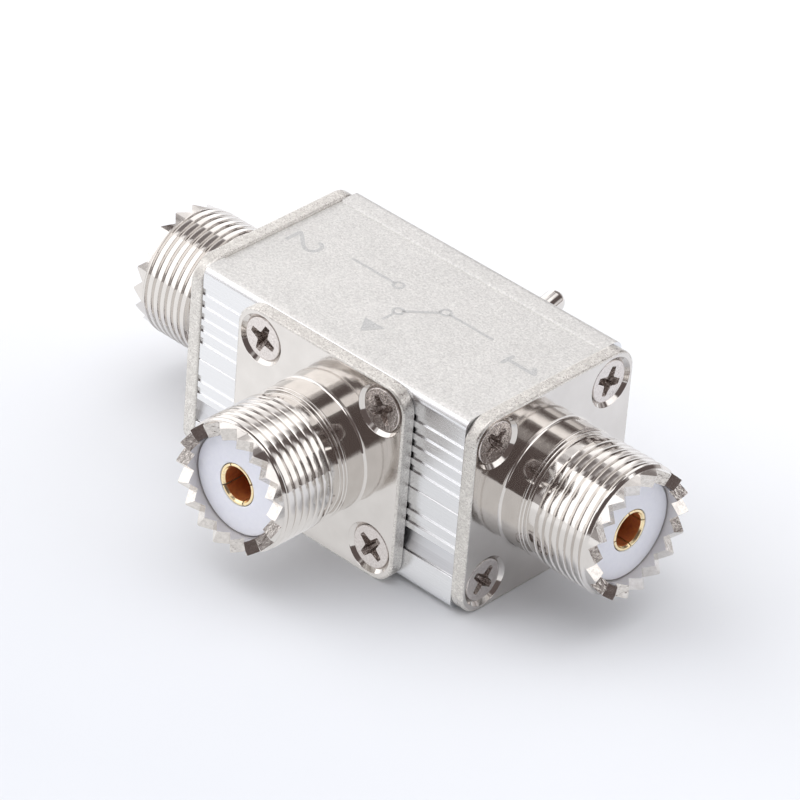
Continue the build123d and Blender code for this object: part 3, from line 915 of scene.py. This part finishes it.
insulator = finished(insulator_mesh(), 40)
contact = finished(contact_mesh(), 40)
screw = finished(screw_mesh(), 30)
for port, (place, turns, phase, slots_at, lean) in PORTS.items():
    shell = finished(crisp_rim(receptacle_mesh(phase, lean)), 30)
    piece(
        port + "_shell_plated", shell, place, [MAT["nickel_flat"], MAT["nickel_turned"], MAT["frosted"], MAT["nickel_cut"]],
        "housing", [port + "_shell"],
    )
    piece(port + "_insulator_turned", insulator.copy(), place, [MAT["white"]], "housing", [port + "_insulator"])
    piece(
        port + "_contact_slotted", contact.copy(), place @ Matrix.Rotation(math.radians(slots_at), 4, "Z"),
        [MAT["gold"], MAT["gold_bore_painted_shade"]], "housing", [port + "_contact"],
    )
    spots = [
        Matrix.Translation((sx * P, sy * P, 0)) @ Matrix.Rotation(math.radians(a), 4, "Z")
        for (sx, sy), a in turns.items()
    ]
    piece(
        port + "_screws_recessed", screw, place, [MAT["screw"], MAT["recess"]], "housing", [port + "_screws"], parts=spots
    )


# ------------------------------------------------------------------ housing
BOX_L, BOX_W, BOX_H, BOX_R, WALL, GROOVE = 40.0, 25.0, 25.0, 1.2, 1.6, 0.21


def half_section():
    """Outline of the upper half in (y, z from the axis), counter-clockwise seen from +X."""
    w, h = BOX_W / 2, BOX_H / 2
    ro, ri = 0.04, 0.03
    pts = []

    def groove(side, a, c, depth, slope=0.0):
        """Notch in the side at y = side * w between heights a and c, met in the order a, then c."""
        y = side * w
        d = side * (w - depth)
        pts.extend([(y, a, ro), (d, a, ri), (d, c, ri), (y, c, ro)])

    # back side, from the parting line up
    pts.extend([(w - 0.10, -0.32, 0.03), (w, -0.20, 0.05)])
    groove(1, 1.84, 2.66, GROOVE)
    groove(1, 3.46, 4.28, GROOVE)
    pts.extend([(w, 5.09, 0.05), (w - 0.80, 5.09, 0.12), (w - 0.62, 6.9, 0.8), (w - 0.26, 8.08, 0.10), (w, 8.13, 0.10)])
    pts.append((w, h, BOX_R))
    # top, from the back edge to the front edge
    pts.extend([(9.43, h, 0.06), (9.25, h - 0.18, 0.05), (-9.25, h - 0.18, 0.05), (-9.43, h, 0.06)])
    pts.append((-w, h, BOX_R))
    # front side, down to the parting line
    for i in range(5):
        top = 9.72 - 1.622 * i
        groove(-1, top, top - 0.82, GROOVE)
    pts.extend([(-w, 0.44, 0.05), (-w + 0.10, 0.32, 0.03)])
    # lap, inside walls and the corner bosses
    mid = w - WALL / 2
    pts.extend([(-mid, 0.32), (-mid, 1.12), (-w + WALL, 1.12)])
    a = w - WALL
    pts.extend([(-a, 5.6, 0.3), (-7.3, 6.9, 0.6), (-6.4, 8.4, 0.6), (-6.4, h - WALL, 0.3)])
    pts.extend([(6.4, h - WALL, 0.3), (6.4, 8.4, 0.6), (7.3, 6.9, 0.6), (a - 1.2, 8.5, 0.3), (a - 1.2, 4.7, 0.3), (a, 4.7, 0.3)])
    pts.extend([(a, -1.12), (mid, -1.12), (mid, -0.32)])
    return rounded(pts)


def tri_prism(b, loop, x0, x1, mats, stations=2):
    """Extrude a closed (y, z) loop along X, capped at each end by a single face; mats gives a material for each side.
    """
    n = len(loop)
    xs = [x0 + (x1 - x0) * k / (stations - 1) for k in range(stations)]
    verts = [(x, y, z) for x in xs for y, z in loop]
    for k in range(stations - 1):
        for j in range(n):
            jn = (j + 1) % n
            b.f.append((len(b.v) + k * n + j, len(b.v) + k * n + jn, len(b.v) + (k + 1) * n + jn, len(b.v) + (k + 1) * n + j))
            b.m.append(mats[j])
    for k in (0, stations - 1):
        base = len(b.v) + k * n
        b.f.append(tuple(base + j for j in range(n)))
        b.m.append(1)
    b.v += verts
    b.t += verts


def shell_mesh(turned_over):
    loop = half_section()
    h, w = BOX_H / 2, BOX_W / 2
    mats = []
    for i in range(len(loop)):
        (y0, z0), (y1, z1) = loop[i], loop[(i + 1) % len(loop)]
        on_top = min(z0, z1) > h - 0.35 and abs(y0) < w - 0.35 and abs(y1) < w - 0.35
        in_wide = min(y0, y1) > 0 and max(y0, y1) < w + 0.01 and min(z0, z1) > 5.05 and max(z0, z1) < 8.14 and min(y0, y1) > w - 0.95
        wall = abs(z1 - z0) < 0.06 and min(abs(y0), abs(y1)) > w - GROOVE - 0.02 and max(abs(y0), abs(y1)) < w + 0.01 and abs(y1 - y0) > 0.01
        lip = in_wide and min(z0, z1) > 8.03
        # groove walls and the wide groove's bottom step take the lighter copy: painted highlight
        # the wide groove's floor takes the darker copy: painted shade
        mats.append(0 if on_top else 3 if wall or lip else 2 if in_wide and min(y0, y1) < w - 0.04 else 1)
    b = Build()
    tri_prism(b, loop, -BOX_L / 2, BOX_L / 2, mats)
    me = b.mesh("shell")
    if turned_over:
        me.transform(Matrix.Rotation(math.pi, 4, "X"))
    for r, y0, y1 in ((6.0, -13.5, -8.5), (3.275, 8.5, 13.5)):
        c = Build()
        lathe(c, [(0, y0), (r, y0), (r, y1), (0, y1)], 64, closed=False)
        cut = c.mesh("cut")
        cut.transform(Matrix.Rotation(math.radians(-90), 4, "X"))
        me = boolean(me, cut)
    return me


up = Matrix.Translation((0, 0, AXIS_Z))
SHELL_MATS = [MAT["blasted"], MAT["drawn"], MAT["drawn_dull_painted_shade"], MAT["drawn_painted_highlight"]]
piece("upper_shell_blasted", finished(shell_mesh(False), 30), up, SHELL_MATS, "housing", ["upper_shell"])
piece("lower_shell_blasted", finished(shell_mesh(True), 30), up, SHELL_MATS, "housing", ["lower_shell"])


# ------------------------------------------------------------------ toggle
def along_y(y0=0.0, turn=0.0):
    return frame_of((0, y0, AXIS_Z), (1, 0, 0), (0, 1, 0)) @ Matrix.Rotation(math.radians(turn), 4, "Z")


THROW, PIVOT_Y = 11.0, 15.0
BUSH_R, BUSH_FROM, BUSH_TO = 3.175, 8.7, 17.7


def lever_mesh():
    b = Build()
    pts = [(0.0, 13.7)]
    for k in range(1, 15):
        a = math.radians(90 * k / 14)
        pts.append((1.4 * math.sin(a), 12.3 + 1.4 * math.cos(a)))
    pts += [(1.4, 11.4), (1.385, 10.8), (1.33, 8.8), (1.24, 6.6), (1.14, 4.6), (1.07, 3.4), (1.05, 2.9)]
    # down to the ball
    a0 = math.asin(1.05 / 2.25)
    for k in range(17):
        a = a0 + (math.pi - math.asin(0.9 / 2.25) - a0) * k / 16
        pts.append((2.25 * math.sin(a), 2.25 * math.cos(a)))
    pts += rounded([(0.9, -2.2), (0.9, -8.5, 0.08), (0.61, -8.5), (0.61, -3.6), (0, -3.6)], closed=False)
    lathe(b, pts, 72, closed=False)
    return b.mesh("lever")


def bushing_mesh():
    b = Build()
    n = 96
    th = [TAU * j / n for j in range(n)]
    pitch, root, crest = 0.635, 2.80, BUSH_R
    z_lo, z_hi = 8.72, 17.66

    def radius_at(q, z):
        u = (z - 9.2) / pitch - q / TAU
        end = smooth((z_hi - z + 0.02) / 0.35) * smooth((z - z_lo + 0.02) / 0.30)
        return root + (crest - root) * thread_profile(u) * end

    thread_patch(b, th, z_lo, z_hi, radius_at, pitch, 9.2, per_pitch=12)
    inner = [(root, z_hi), (2.78, 17.70), (2.12, 17.70), (2.05, 17.64), (1.5, 16.744)]
    for k in range(1, 9):
        a = math.acos(1.744 / 2.3) + (math.pi / 2 - math.acos(1.744 / 2.3)) * k / 8
        inner.append((2.3 * math.sin(a), 15 + 2.3 * math.cos(a)))
    inner += [(2.3, 8.3), (2.7, 8.3), (2.7, 8.72), (root, z_lo)]
    lathe(b, inner, n, closed=False)
    me = b.mesh("bushing")
    # keyway along the underside
    c = Build()
    w = 0.45
    loop = [(-w, 2.72), (w, 2.72), (w, 3.6), (-w, 3.6)]
    strip(c, [[(x, y, 9.6) for x, y in loop], [(x, y, 18.5) for x, y in loop]])
    c.f += [(3, 2, 1, 0), (4, 5, 6, 7)]
    c.m += [0, 0]
    return boolean(me, c.mesh("key"))


def nut_mesh(thick):
    corner = 4.0 / math.cos(math.radians(30))
    b = Build()
    hexa = [(corner * math.cos(math.radians(60 * k)), corner * math.sin(math.radians(60 * k))) for k in range(6)]
    strip(b, [[(x, y, 0) for x, y in hexa], [(x, y, thick) for x, y in hexa]])
    b.f += [(5, 4, 3, 2, 1, 0), (6, 7, 8, 9, 10, 11)]
    b.m += [0, 0]
    c = Build()
    lathe(c, [(0, 0), (4.05, 0), (corner + 0.05, 0.34), (corner + 0.05, thick - 0.34), (4.05, thick), (0, thick)], 96, closed=False)
    me = boolean(b.mesh("hex"), c.mesh("cone"), "INTERSECT")
    d = Build()
    lathe(d, [(0, -1), (3.6, -1), (3.6, 0.0), (3.2, 0.36), (3.2, thick - 0.36), (3.6, thick), (3.6, thick + 1), (0, thick + 1)], 96, closed=False)
    return bevelled(boolean(me, d.mesh("bore")), 0.05, 28, 2)


def spring_mesh():
    """Compression spring behind the plunger: five coils of round wire, about the lever's own axis."""
    wire, radius, coils, start, height = 0.09, 0.42, 5, -6.301, 2.602
    rise = height / (coils * 2 * math.pi)
    tilt = math.atan2(rise, radius)
    sides, steps = 12, 48 * coils
    verts, faces = [], []
    for i in range(steps + 1):
        a = coils * 2 * math.pi * i / steps
        for k in range(sides):
            b = 2 * math.pi * k / sides
            r, u = radius + wire * math.cos(b), wire * math.sin(b)
            verts.append((
                r * math.cos(a) + u * math.sin(a) * math.sin(tilt), r * math.sin(a) - u * math.cos(a) * math.sin(tilt),
                start + rise * a + u * math.cos(tilt),
            ))
    for i in range(steps):
        for k in range(sides):
            j = (k + 1) % sides
            faces.append((i * sides + k, (i + 1) * sides + k, (i + 1) * sides + j, i * sides + j))
    faces.append(tuple(range(sides)))
    faces.append(tuple(steps * sides + k for k in reversed(range(sides))))
    me = bpy.data.meshes.new("spring")
    me.from_pydata(verts, [], faces)
    return me


def bare_copy(node, width, angle=40):
    """A CAD node's own mesh, in millimetres, with its edges broken."""
    me = nodes[node].data.copy()
    me.transform(Matrix.Scale(1 / MM, 4))
    bm = bmesh.new()
    bm.from_mesh(me)
    bmesh.ops.remove_doubles(bm, verts=bm.verts, dist=1e-4)
    bmesh.ops.dissolve_limit(bm, angle_limit=math.radians(0.5), verts=bm.verts, edges=bm.edges)
    bm.to_mesh(me)
    bm.free()
    return bevelled(me, width, angle, 2)


lean = frame_of((0, PIVOT_Y, AXIS_Z), (0, 0, 1), (-math.sin(math.radians(THROW)), math.cos(math.radians(THROW)), 0))
NICKEL_T = [MAT["nickel_turned"]]
piece("toggle_lever_turned", finished(lever_mesh(), 40), lean, NICKEL_T, "lever", ["toggle_lever"])
# the spring coil rides on the lever with a mesh of its own; it stays at full length, though the plunger slides in by up
# to 0.7 mm
coil = piece("plunger_spring_coil", finished(spring_mesh(), 40), lean, [MAT["spring"]], "lever", ["plunger_spring"])
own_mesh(coil)
piece("toggle_bushing_threaded", finished(bushing_mesh(), 40), along_y(), NICKEL_T, "housing", ["toggle_bushing"])
piece("mounting_nut_chamfered", finished(nut_mesh(2.0), 30), along_y(13.0, 11), [MAT["nickel_flat"]], "housing", ["mounting_nut"])
piece("inner_nut_chamfered", finished(nut_mesh(1.7), 30), along_y(8.7), [MAT["nickel_flat"]], "housing", ["inner_nut"])
for node in ("keyed_washer", "lock_washer"):
    piece(node + "_stamped", finished(bare_copy(node, 0.05), 30), Matrix.Identity(4), [MAT["nickel_flat"]], "housing", [node])

for node, key in {
    "toggle_frame": "steel", "toggle_case": "black", "plunger": "nylon",
    "rocker_contact": "silver", "common_terminal": "silver", "throw_terminal_1": "silver",
    "throw_terminal_2": "silver", "link_wire_1": "tinned", "link_wire_2": "tinned", "link_wire_common": "tinned",
}.items():
    o = nodes[node]
    o.data.materials.clear()
    o.data.materials.append(MAT[key])


# ------------------------------------------------------------------ plain marks on the top
def etched_marks():
    """An arrow at the common port and a changeover-switch symbol; the plain numbers at the ports they stand for are
    drawn by digit.
    """
    surface = AXIS_Z + BOX_H / 2 - 0.18
    thick = 0.012
    b = Build()

    def polygon(pts):
        n = len(pts)
        top = surface + thick + (0.002 if len(b.f) % 4 else 0.0)
        verts = [(x, y, surface - 0.004) for x, y in pts] + [(x, y, top) for x, y in pts]
        faces = [tuple(reversed(range(n))), tuple(range(n, 2 * n))]
        faces += [(i, (i + 1) % n, n + (i + 1) % n, n + i) for i in range(n)]
        b.add(verts, faces)

    def stroke(p, q, w=0.36):
        p, q = Vector(p), Vector(q)
        d = (q - p).normalized()
        s = Vector((-d.y, d.x)) * w / 2
        e = d * w / 2
        polygon([tuple(p - s - e * 0.6), tuple(p - s * 0.6 - e), tuple(p + s * 0.6 - e), tuple(p + s - e * 0.6),
                 tuple(q + s + e * 0.6), tuple(q + s * 0.6 + e), tuple(q - s * 0.6 + e), tuple(q - s + e * 0.6)][::-1])

    def ring(c, r, w=0.34, k=28):
        for i in range(k):
            a0, a1 = TAU * i / k, TAU * (i + 1) / k
            polygon(
                [
                    (c[0] + (r + w / 2) * math.cos(a0), c[1] + (r + w / 2) * math.sin(a0)),
                    (c[0] + (r + w / 2) * math.cos(a1), c[1] + (r + w / 2) * math.sin(a1)),
                    (c[0] + (r - w / 2) * math.cos(a1), c[1] + (r - w / 2) * math.sin(a1)),
                    (c[0] + (r - w / 2) * math.cos(a0), c[1] + (r - w / 2) * math.sin(a0)),
                ]
            )

    # changeover symbol: two throws and a common, with the blade towards port 1
    for s in (-1, 1):
        stroke((s * 10.6, 1.6), (s * 4.4, 1.6))
        ring((s * 3.6, 1.6), 0.6)
    ring((0, -2.2), 0.6)
    stroke((0, -3.0), (0, -4.6))
    stroke((0.45, -1.78), (3.1, 1.0))
    # arrow towards the common port
    polygon([(-1.5, -5.9), (0, -8.3), (1.5, -5.9)])
    return b.mesh("marks", merge=0.0)


def digit(strokes, x, y, turn, w=0.5):
    """A plain figure drawn with round-ended strokes, each a list of (x, y) in millimetres about its middle."""
    b = Build()
    low = -0.004
    for order, points in enumerate(strokes):
        high = 0.009 + 0.003 * order
        path = [Vector(p) for p in points]
        left, right = [], []
        for i, p in enumerate(path):
            d = (path[min(i + 1, len(path) - 1)] - path[max(i - 1, 0)]).normalized()
            s = Vector((-d.y, d.x)) * w / 2
            left.append(p + s)
            right.append(p - s)
        first = (path[0] - path[1]).normalized() * w * 0.3
        last = (path[-1] - path[-2]).normalized() * w * 0.3
        outline = right + [right[-1] * 0.75 + left[-1] * 0.25 + last, left[-1] * 0.75 + right[-1] * 0.25 + last]
        outline += left[::-1] + [left[0] * 0.75 + right[0] * 0.25 + first, right[0] * 0.75 + left[0] * 0.25 + first]
        n = len(outline)
        verts = [(p.x, p.y, low) for p in outline] + [(p.x, p.y, high) for p in outline]
        faces = [tuple(reversed(range(n))), tuple(range(n, 2 * n))]
        faces += [(i, (i + 1) % n, n + (i + 1) % n, n + i) for i in range(n)]
        b.add(verts, faces)
    me = b.mesh("figure", merge=0.0)
    me.transform(Matrix.Translation((x, y, AXIS_Z + BOX_H / 2 - 0.18)) @ Matrix.Rotation(math.radians(turn), 4, "Z"))
    return me


ONE = [[(-0.95, 1.15), (0.0, 2.0)], [(0.0, 2.0), (0.0, -2.0)], [(-0.9, -2.0), (0.9, -2.0)]]
TWO = [
    [(-1.05, 1.05)]
    + [(1.05 * math.cos(math.radians(a)), 1.0 + 1.0 * math.sin(math.radians(a))) for a in range(160, -31, -16)]
    + [(0.55, 0.0), (-0.3, -0.95), (-1.1, -2.0)],
    [(-1.1, -2.0), (1.15, -2.0)],
]
ident = Matrix.Identity(4)
piece("top_symbol", etched_marks(), ident, [MAT["etched"]], "housing")
piece("top_number_1", digit(ONE, 16.4, 0.0, -90), ident, [MAT["etched"]], "housing")
piece("top_number_2", digit(TWO, -16.4, 0.0, -90), ident, [MAT["etched"]], "housing")


# ------------------------------------------------------------------ floor, light
def stage_floor():
    me = bpy.data.meshes.new("floor")
    s = 2.5
    me.from_pydata([(-s, -s, 0), (s, -s, 0), (s, s, 0), (-s, s, 0)], [], [(0, 1, 2, 3)])
    o = bpy.data.objects.new("floor", me)
    bpy.context.scene.collection.objects.link(o)
    m = Mat("floor_paper", (0.90, 0.91, 0.93), 0.0, 0.7)
    m.put("Specular IOR Level", 0.1)
    # painted light: the sheet's colour is a little brighter towards its far end, as if lit more from the back
    away = m.node("ShaderNodeVectorMath", operation="DOT_PRODUCT")
    m.link(m.coords(), away.inputs[0])
    away.inputs[1].default_value = (-0.42, 0.91, 0.0)
    n1 = m.noise(m.coords(offset=(3, 1, 0)), 0.02, 2, 0.5)
    level = m.math("ADD", m.remap(away.outputs["Value"], -60, 110, 0, 1), m.remap(n1, 0.3, 0.7, -0.04, 0.04))
    m.color(m.mix(level, (0.79, 0.805, 0.84), (0.965, 0.965, 0.975)))
    # painted light: to glossy rays the sheet in front of the switch glows, so the plating in front of it reflects a
    # bright floor
    painted_glow = m.node("ShaderNodeEmission")
    painted_glow.inputs["Color"].default_value = (1.0, 0.995, 1.0, 1)
    place = m.node("ShaderNodeSeparateXYZ")
    m.link(m.coords(), place.inputs[0])
    # the painted glow is stronger to the left, where no part of the switch stands over the sheet
    m.link(m.remap(place.outputs["X"], -24, -4, 1.14, 0.92), painted_glow.inputs["Strength"])
    path = m.node("ShaderNodeLightPath")
    share = m.math("MULTIPLY", m.remap(place.outputs["Y"], -15.5, -11.5, 0.88, 0.0), path.outputs["Is Glossy Ray"])
    both = m.node("ShaderNodeMixShader")
    m.link(share, both.inputs[0])
    m.link(m.bsdf.outputs[0], both.inputs[1])
    m.link(painted_glow.outputs[0], both.inputs[2])
    m.link(both.outputs[0], m.tree.nodes["Material Output"].inputs["Surface"])
    me.materials.append(m.mat)


def area(name, where, aim, size, power, color=(1, 1, 1)):
    data = bpy.data.lights.new(name, "AREA")
    data.shape, data.size, data.size_y = "RECTANGLE", size[0], size[1]
    data.energy, data.color = power, color
    o = bpy.data.objects.new(name, data)
    o.location = where
    o.rotation_mode = "QUATERNION"
    o.rotation_quaternion = (Vector(aim) - Vector(where)).to_track_quat("-Z", "Y")
    bpy.context.scene.collection.objects.link(o)
    return o


def world():
    """A light tent, open on the camera's side: diffusers over, behind and to the left, a dark room in front."""
    w = bpy.data.worlds.new("studio")
    bpy.context.scene.world = w
    w.use_nodes = True
    t = w.node_tree
    t.nodes.clear()

    def new(kind, **props):
        n = t.nodes.new(kind)
        for k, v in props.items():
            setattr(n, k, v)
        return n

    def calc(op, a, b=None, c=None):
        n = new("ShaderNodeMath", operation=op)
        for i, v in enumerate((a, b, c)):
            if v is None:
                continue
            if isinstance(v, (int, float)):
                n.inputs[i].default_value = v
            else:
                t.links.new(v, n.inputs[i])
        return n.outputs["Value"]

    def step(value, a, b):
        n = new("ShaderNodeMapRange", interpolation_type="SMOOTHSTEP")
        n.inputs["From Min"].default_value, n.inputs["From Max"].default_value = a, b
        t.links.new(value, n.inputs["Value"])
        return n.outputs["Result"]

    xyz = new("ShaderNodeSeparateXYZ")
    t.links.new(new("ShaderNodeTexCoord").outputs["Generated"], xyz.inputs["Vector"])
    to_deg = 180 / math.pi
    az = calc("MULTIPLY", calc("ARCTAN2", xyz.outputs["Y"], xyz.outputs["X"]), to_deg)
    el = calc("MULTIPLY", calc("ARCSINE", xyz.outputs["Z"]), to_deg)

    def panel(a0, a1, e0, e1, soft=3.0):
        """1 inside azimuths a0 to a1 and elevations e0 to e1, in degrees."""
        m = calc("MULTIPLY", step(az, a0 - soft, a0 + soft), calc("SUBTRACT", 1, step(az, a1 - soft, a1 + soft)))
        m = calc("MULTIPLY", m, step(el, e0 - soft, e0 + soft))
        return calc("MULTIPLY", m, calc("SUBTRACT", 1, step(el, e1 - soft, e1 + soft)))

    total = None
    for box, strength in PANELS:
        part = calc("MULTIPLY", panel(*box), strength)
        total = part if total is None else calc("ADD", total, part)
    # the panels as bright metal sees them
    lamps = new("ShaderNodeBackground")
    lamps.inputs["Color"].default_value = (1.0, 1.0, 1.0, 1)
    t.links.new(total, lamps.inputs["Strength"])
    room = new("ShaderNodeBackground")
    room.inputs["Color"].default_value = (0.135, 0.108, 0.104, 1)
    sharp = new("ShaderNodeAddShader")
    t.links.new(lamps.outputs[0], sharp.inputs[0])
    t.links.new(room.outputs[0], sharp.inputs[1])
    # the same tent as matt surfaces see it, with the light bounced about the room
    soft = new("ShaderNodeBackground")
    soft.inputs["Color"].default_value = (0.985, 0.985, 1.0, 1)
    matt = None
    for box, strength in SOFT_PANELS:
        part = calc("MULTIPLY", panel(*box), strength)
        matt = part if matt is None else calc("ADD", matt, part)
    t.links.new(calc("ADD", matt, SOFT_ROOM), soft.inputs["Strength"])
    plain = new("ShaderNodeBackground")
    plain.inputs["Color"].default_value = (1.0, 1.0, 1.0, 1)
    path = new("ShaderNodeLightPath")
    bounce = new("ShaderNodeMixShader")
    t.links.new(path.outputs["Is Glossy Ray"], bounce.inputs[0])
    t.links.new(soft.outputs[0], bounce.inputs[1])
    t.links.new(sharp.outputs[0], bounce.inputs[2])
    mix = new("ShaderNodeMixShader")
    t.links.new(path.outputs["Is Camera Ray"], mix.inputs[0])
    t.links.new(bounce.outputs[0], mix.inputs[1])
    t.links.new(plain.outputs[0], mix.inputs[2])
    t.links.new(mix.outputs[0], new("ShaderNodeOutputWorld").inputs["Surface"])


PANELS = [
    # (azimuths, elevations, softness), strength
    ((-168, -128, -8, 60, 3), 1.5),    # left
    ((-181, -168, -8, 47, 4), 1.3),
    ((-128, -124, 11, 42, 1.5), 1.5),
    ((-132, -112, -8, 11, 3), 0.28),
    ((-124, -112, 30, 46, 4), 0.65),
    ((-92, -82, 12, 32, 3), 0.9),
    ((-95, -84, 32, 44, 4), 0.35),
    ((152, 181, -8, 36, 4), 0.85),
    ((128, 152, -8, 21, 4), 1.42),     # behind, to the left
    ((129, 150, 21, 38, 4), 1.32),
    ((131, 150, 38, 50, 4), 0.98),
    ((134, 166, 50, 61, 3), 0.72),
    ((166, 181, 50, 61, 4), 0.40),
    ((150, 181, 38, 50, 4), 0.10),
    ((120, 131, 36, 47, 3), 1.15),
    ((118, 131, 47, 61, 4), 0.35),
    ((110, 118, 38, 61, 3), 0.60),
    ((82, 110, 40, 61, 4), 1.34),      # behind
    ((70, 82, 46, 61, 4), 0.15),
    ((60, 131, -8, 11, 5), 0.42),
    ((84, 131, 11, 30, 5), 0.14),
    ((52, 66, 8, 21, 3), 0.55),
    ((20, 50, 9, 46, 3), 1.34),        # right, at the back
    ((1, 20, 29, 44, 3), 1.2),
    ((24, 50, -4, 9, 4), 0.7),
    ((34, 48, 44, 54, 3), 0.7),
    ((50, 60, -6, 21, 3), 0.28),
    ((-92, -70, 44, 62, 4), 1.15),
    ((-181, 58, 61, 91, 5), 1.9),      # overhead
    ((58, 181, 61, 91, 5), 1.4),
]
SOFT_ROOM = 0.36
SOFT_PANELS = [
    ((-190, -112, -5, 60, 9), 1.75),
    ((166, 190, -5, 60, 9), 1.75),
    ((12, 112, 8, 60, 9), 0.75),
    ((-181, 181, 60, 91, 8), 1.55),
]

stage_floor()
world()
scene = bpy.context.scene
scene.view_settings.view_transform = "Standard"
scene.view_settings.look = "None"
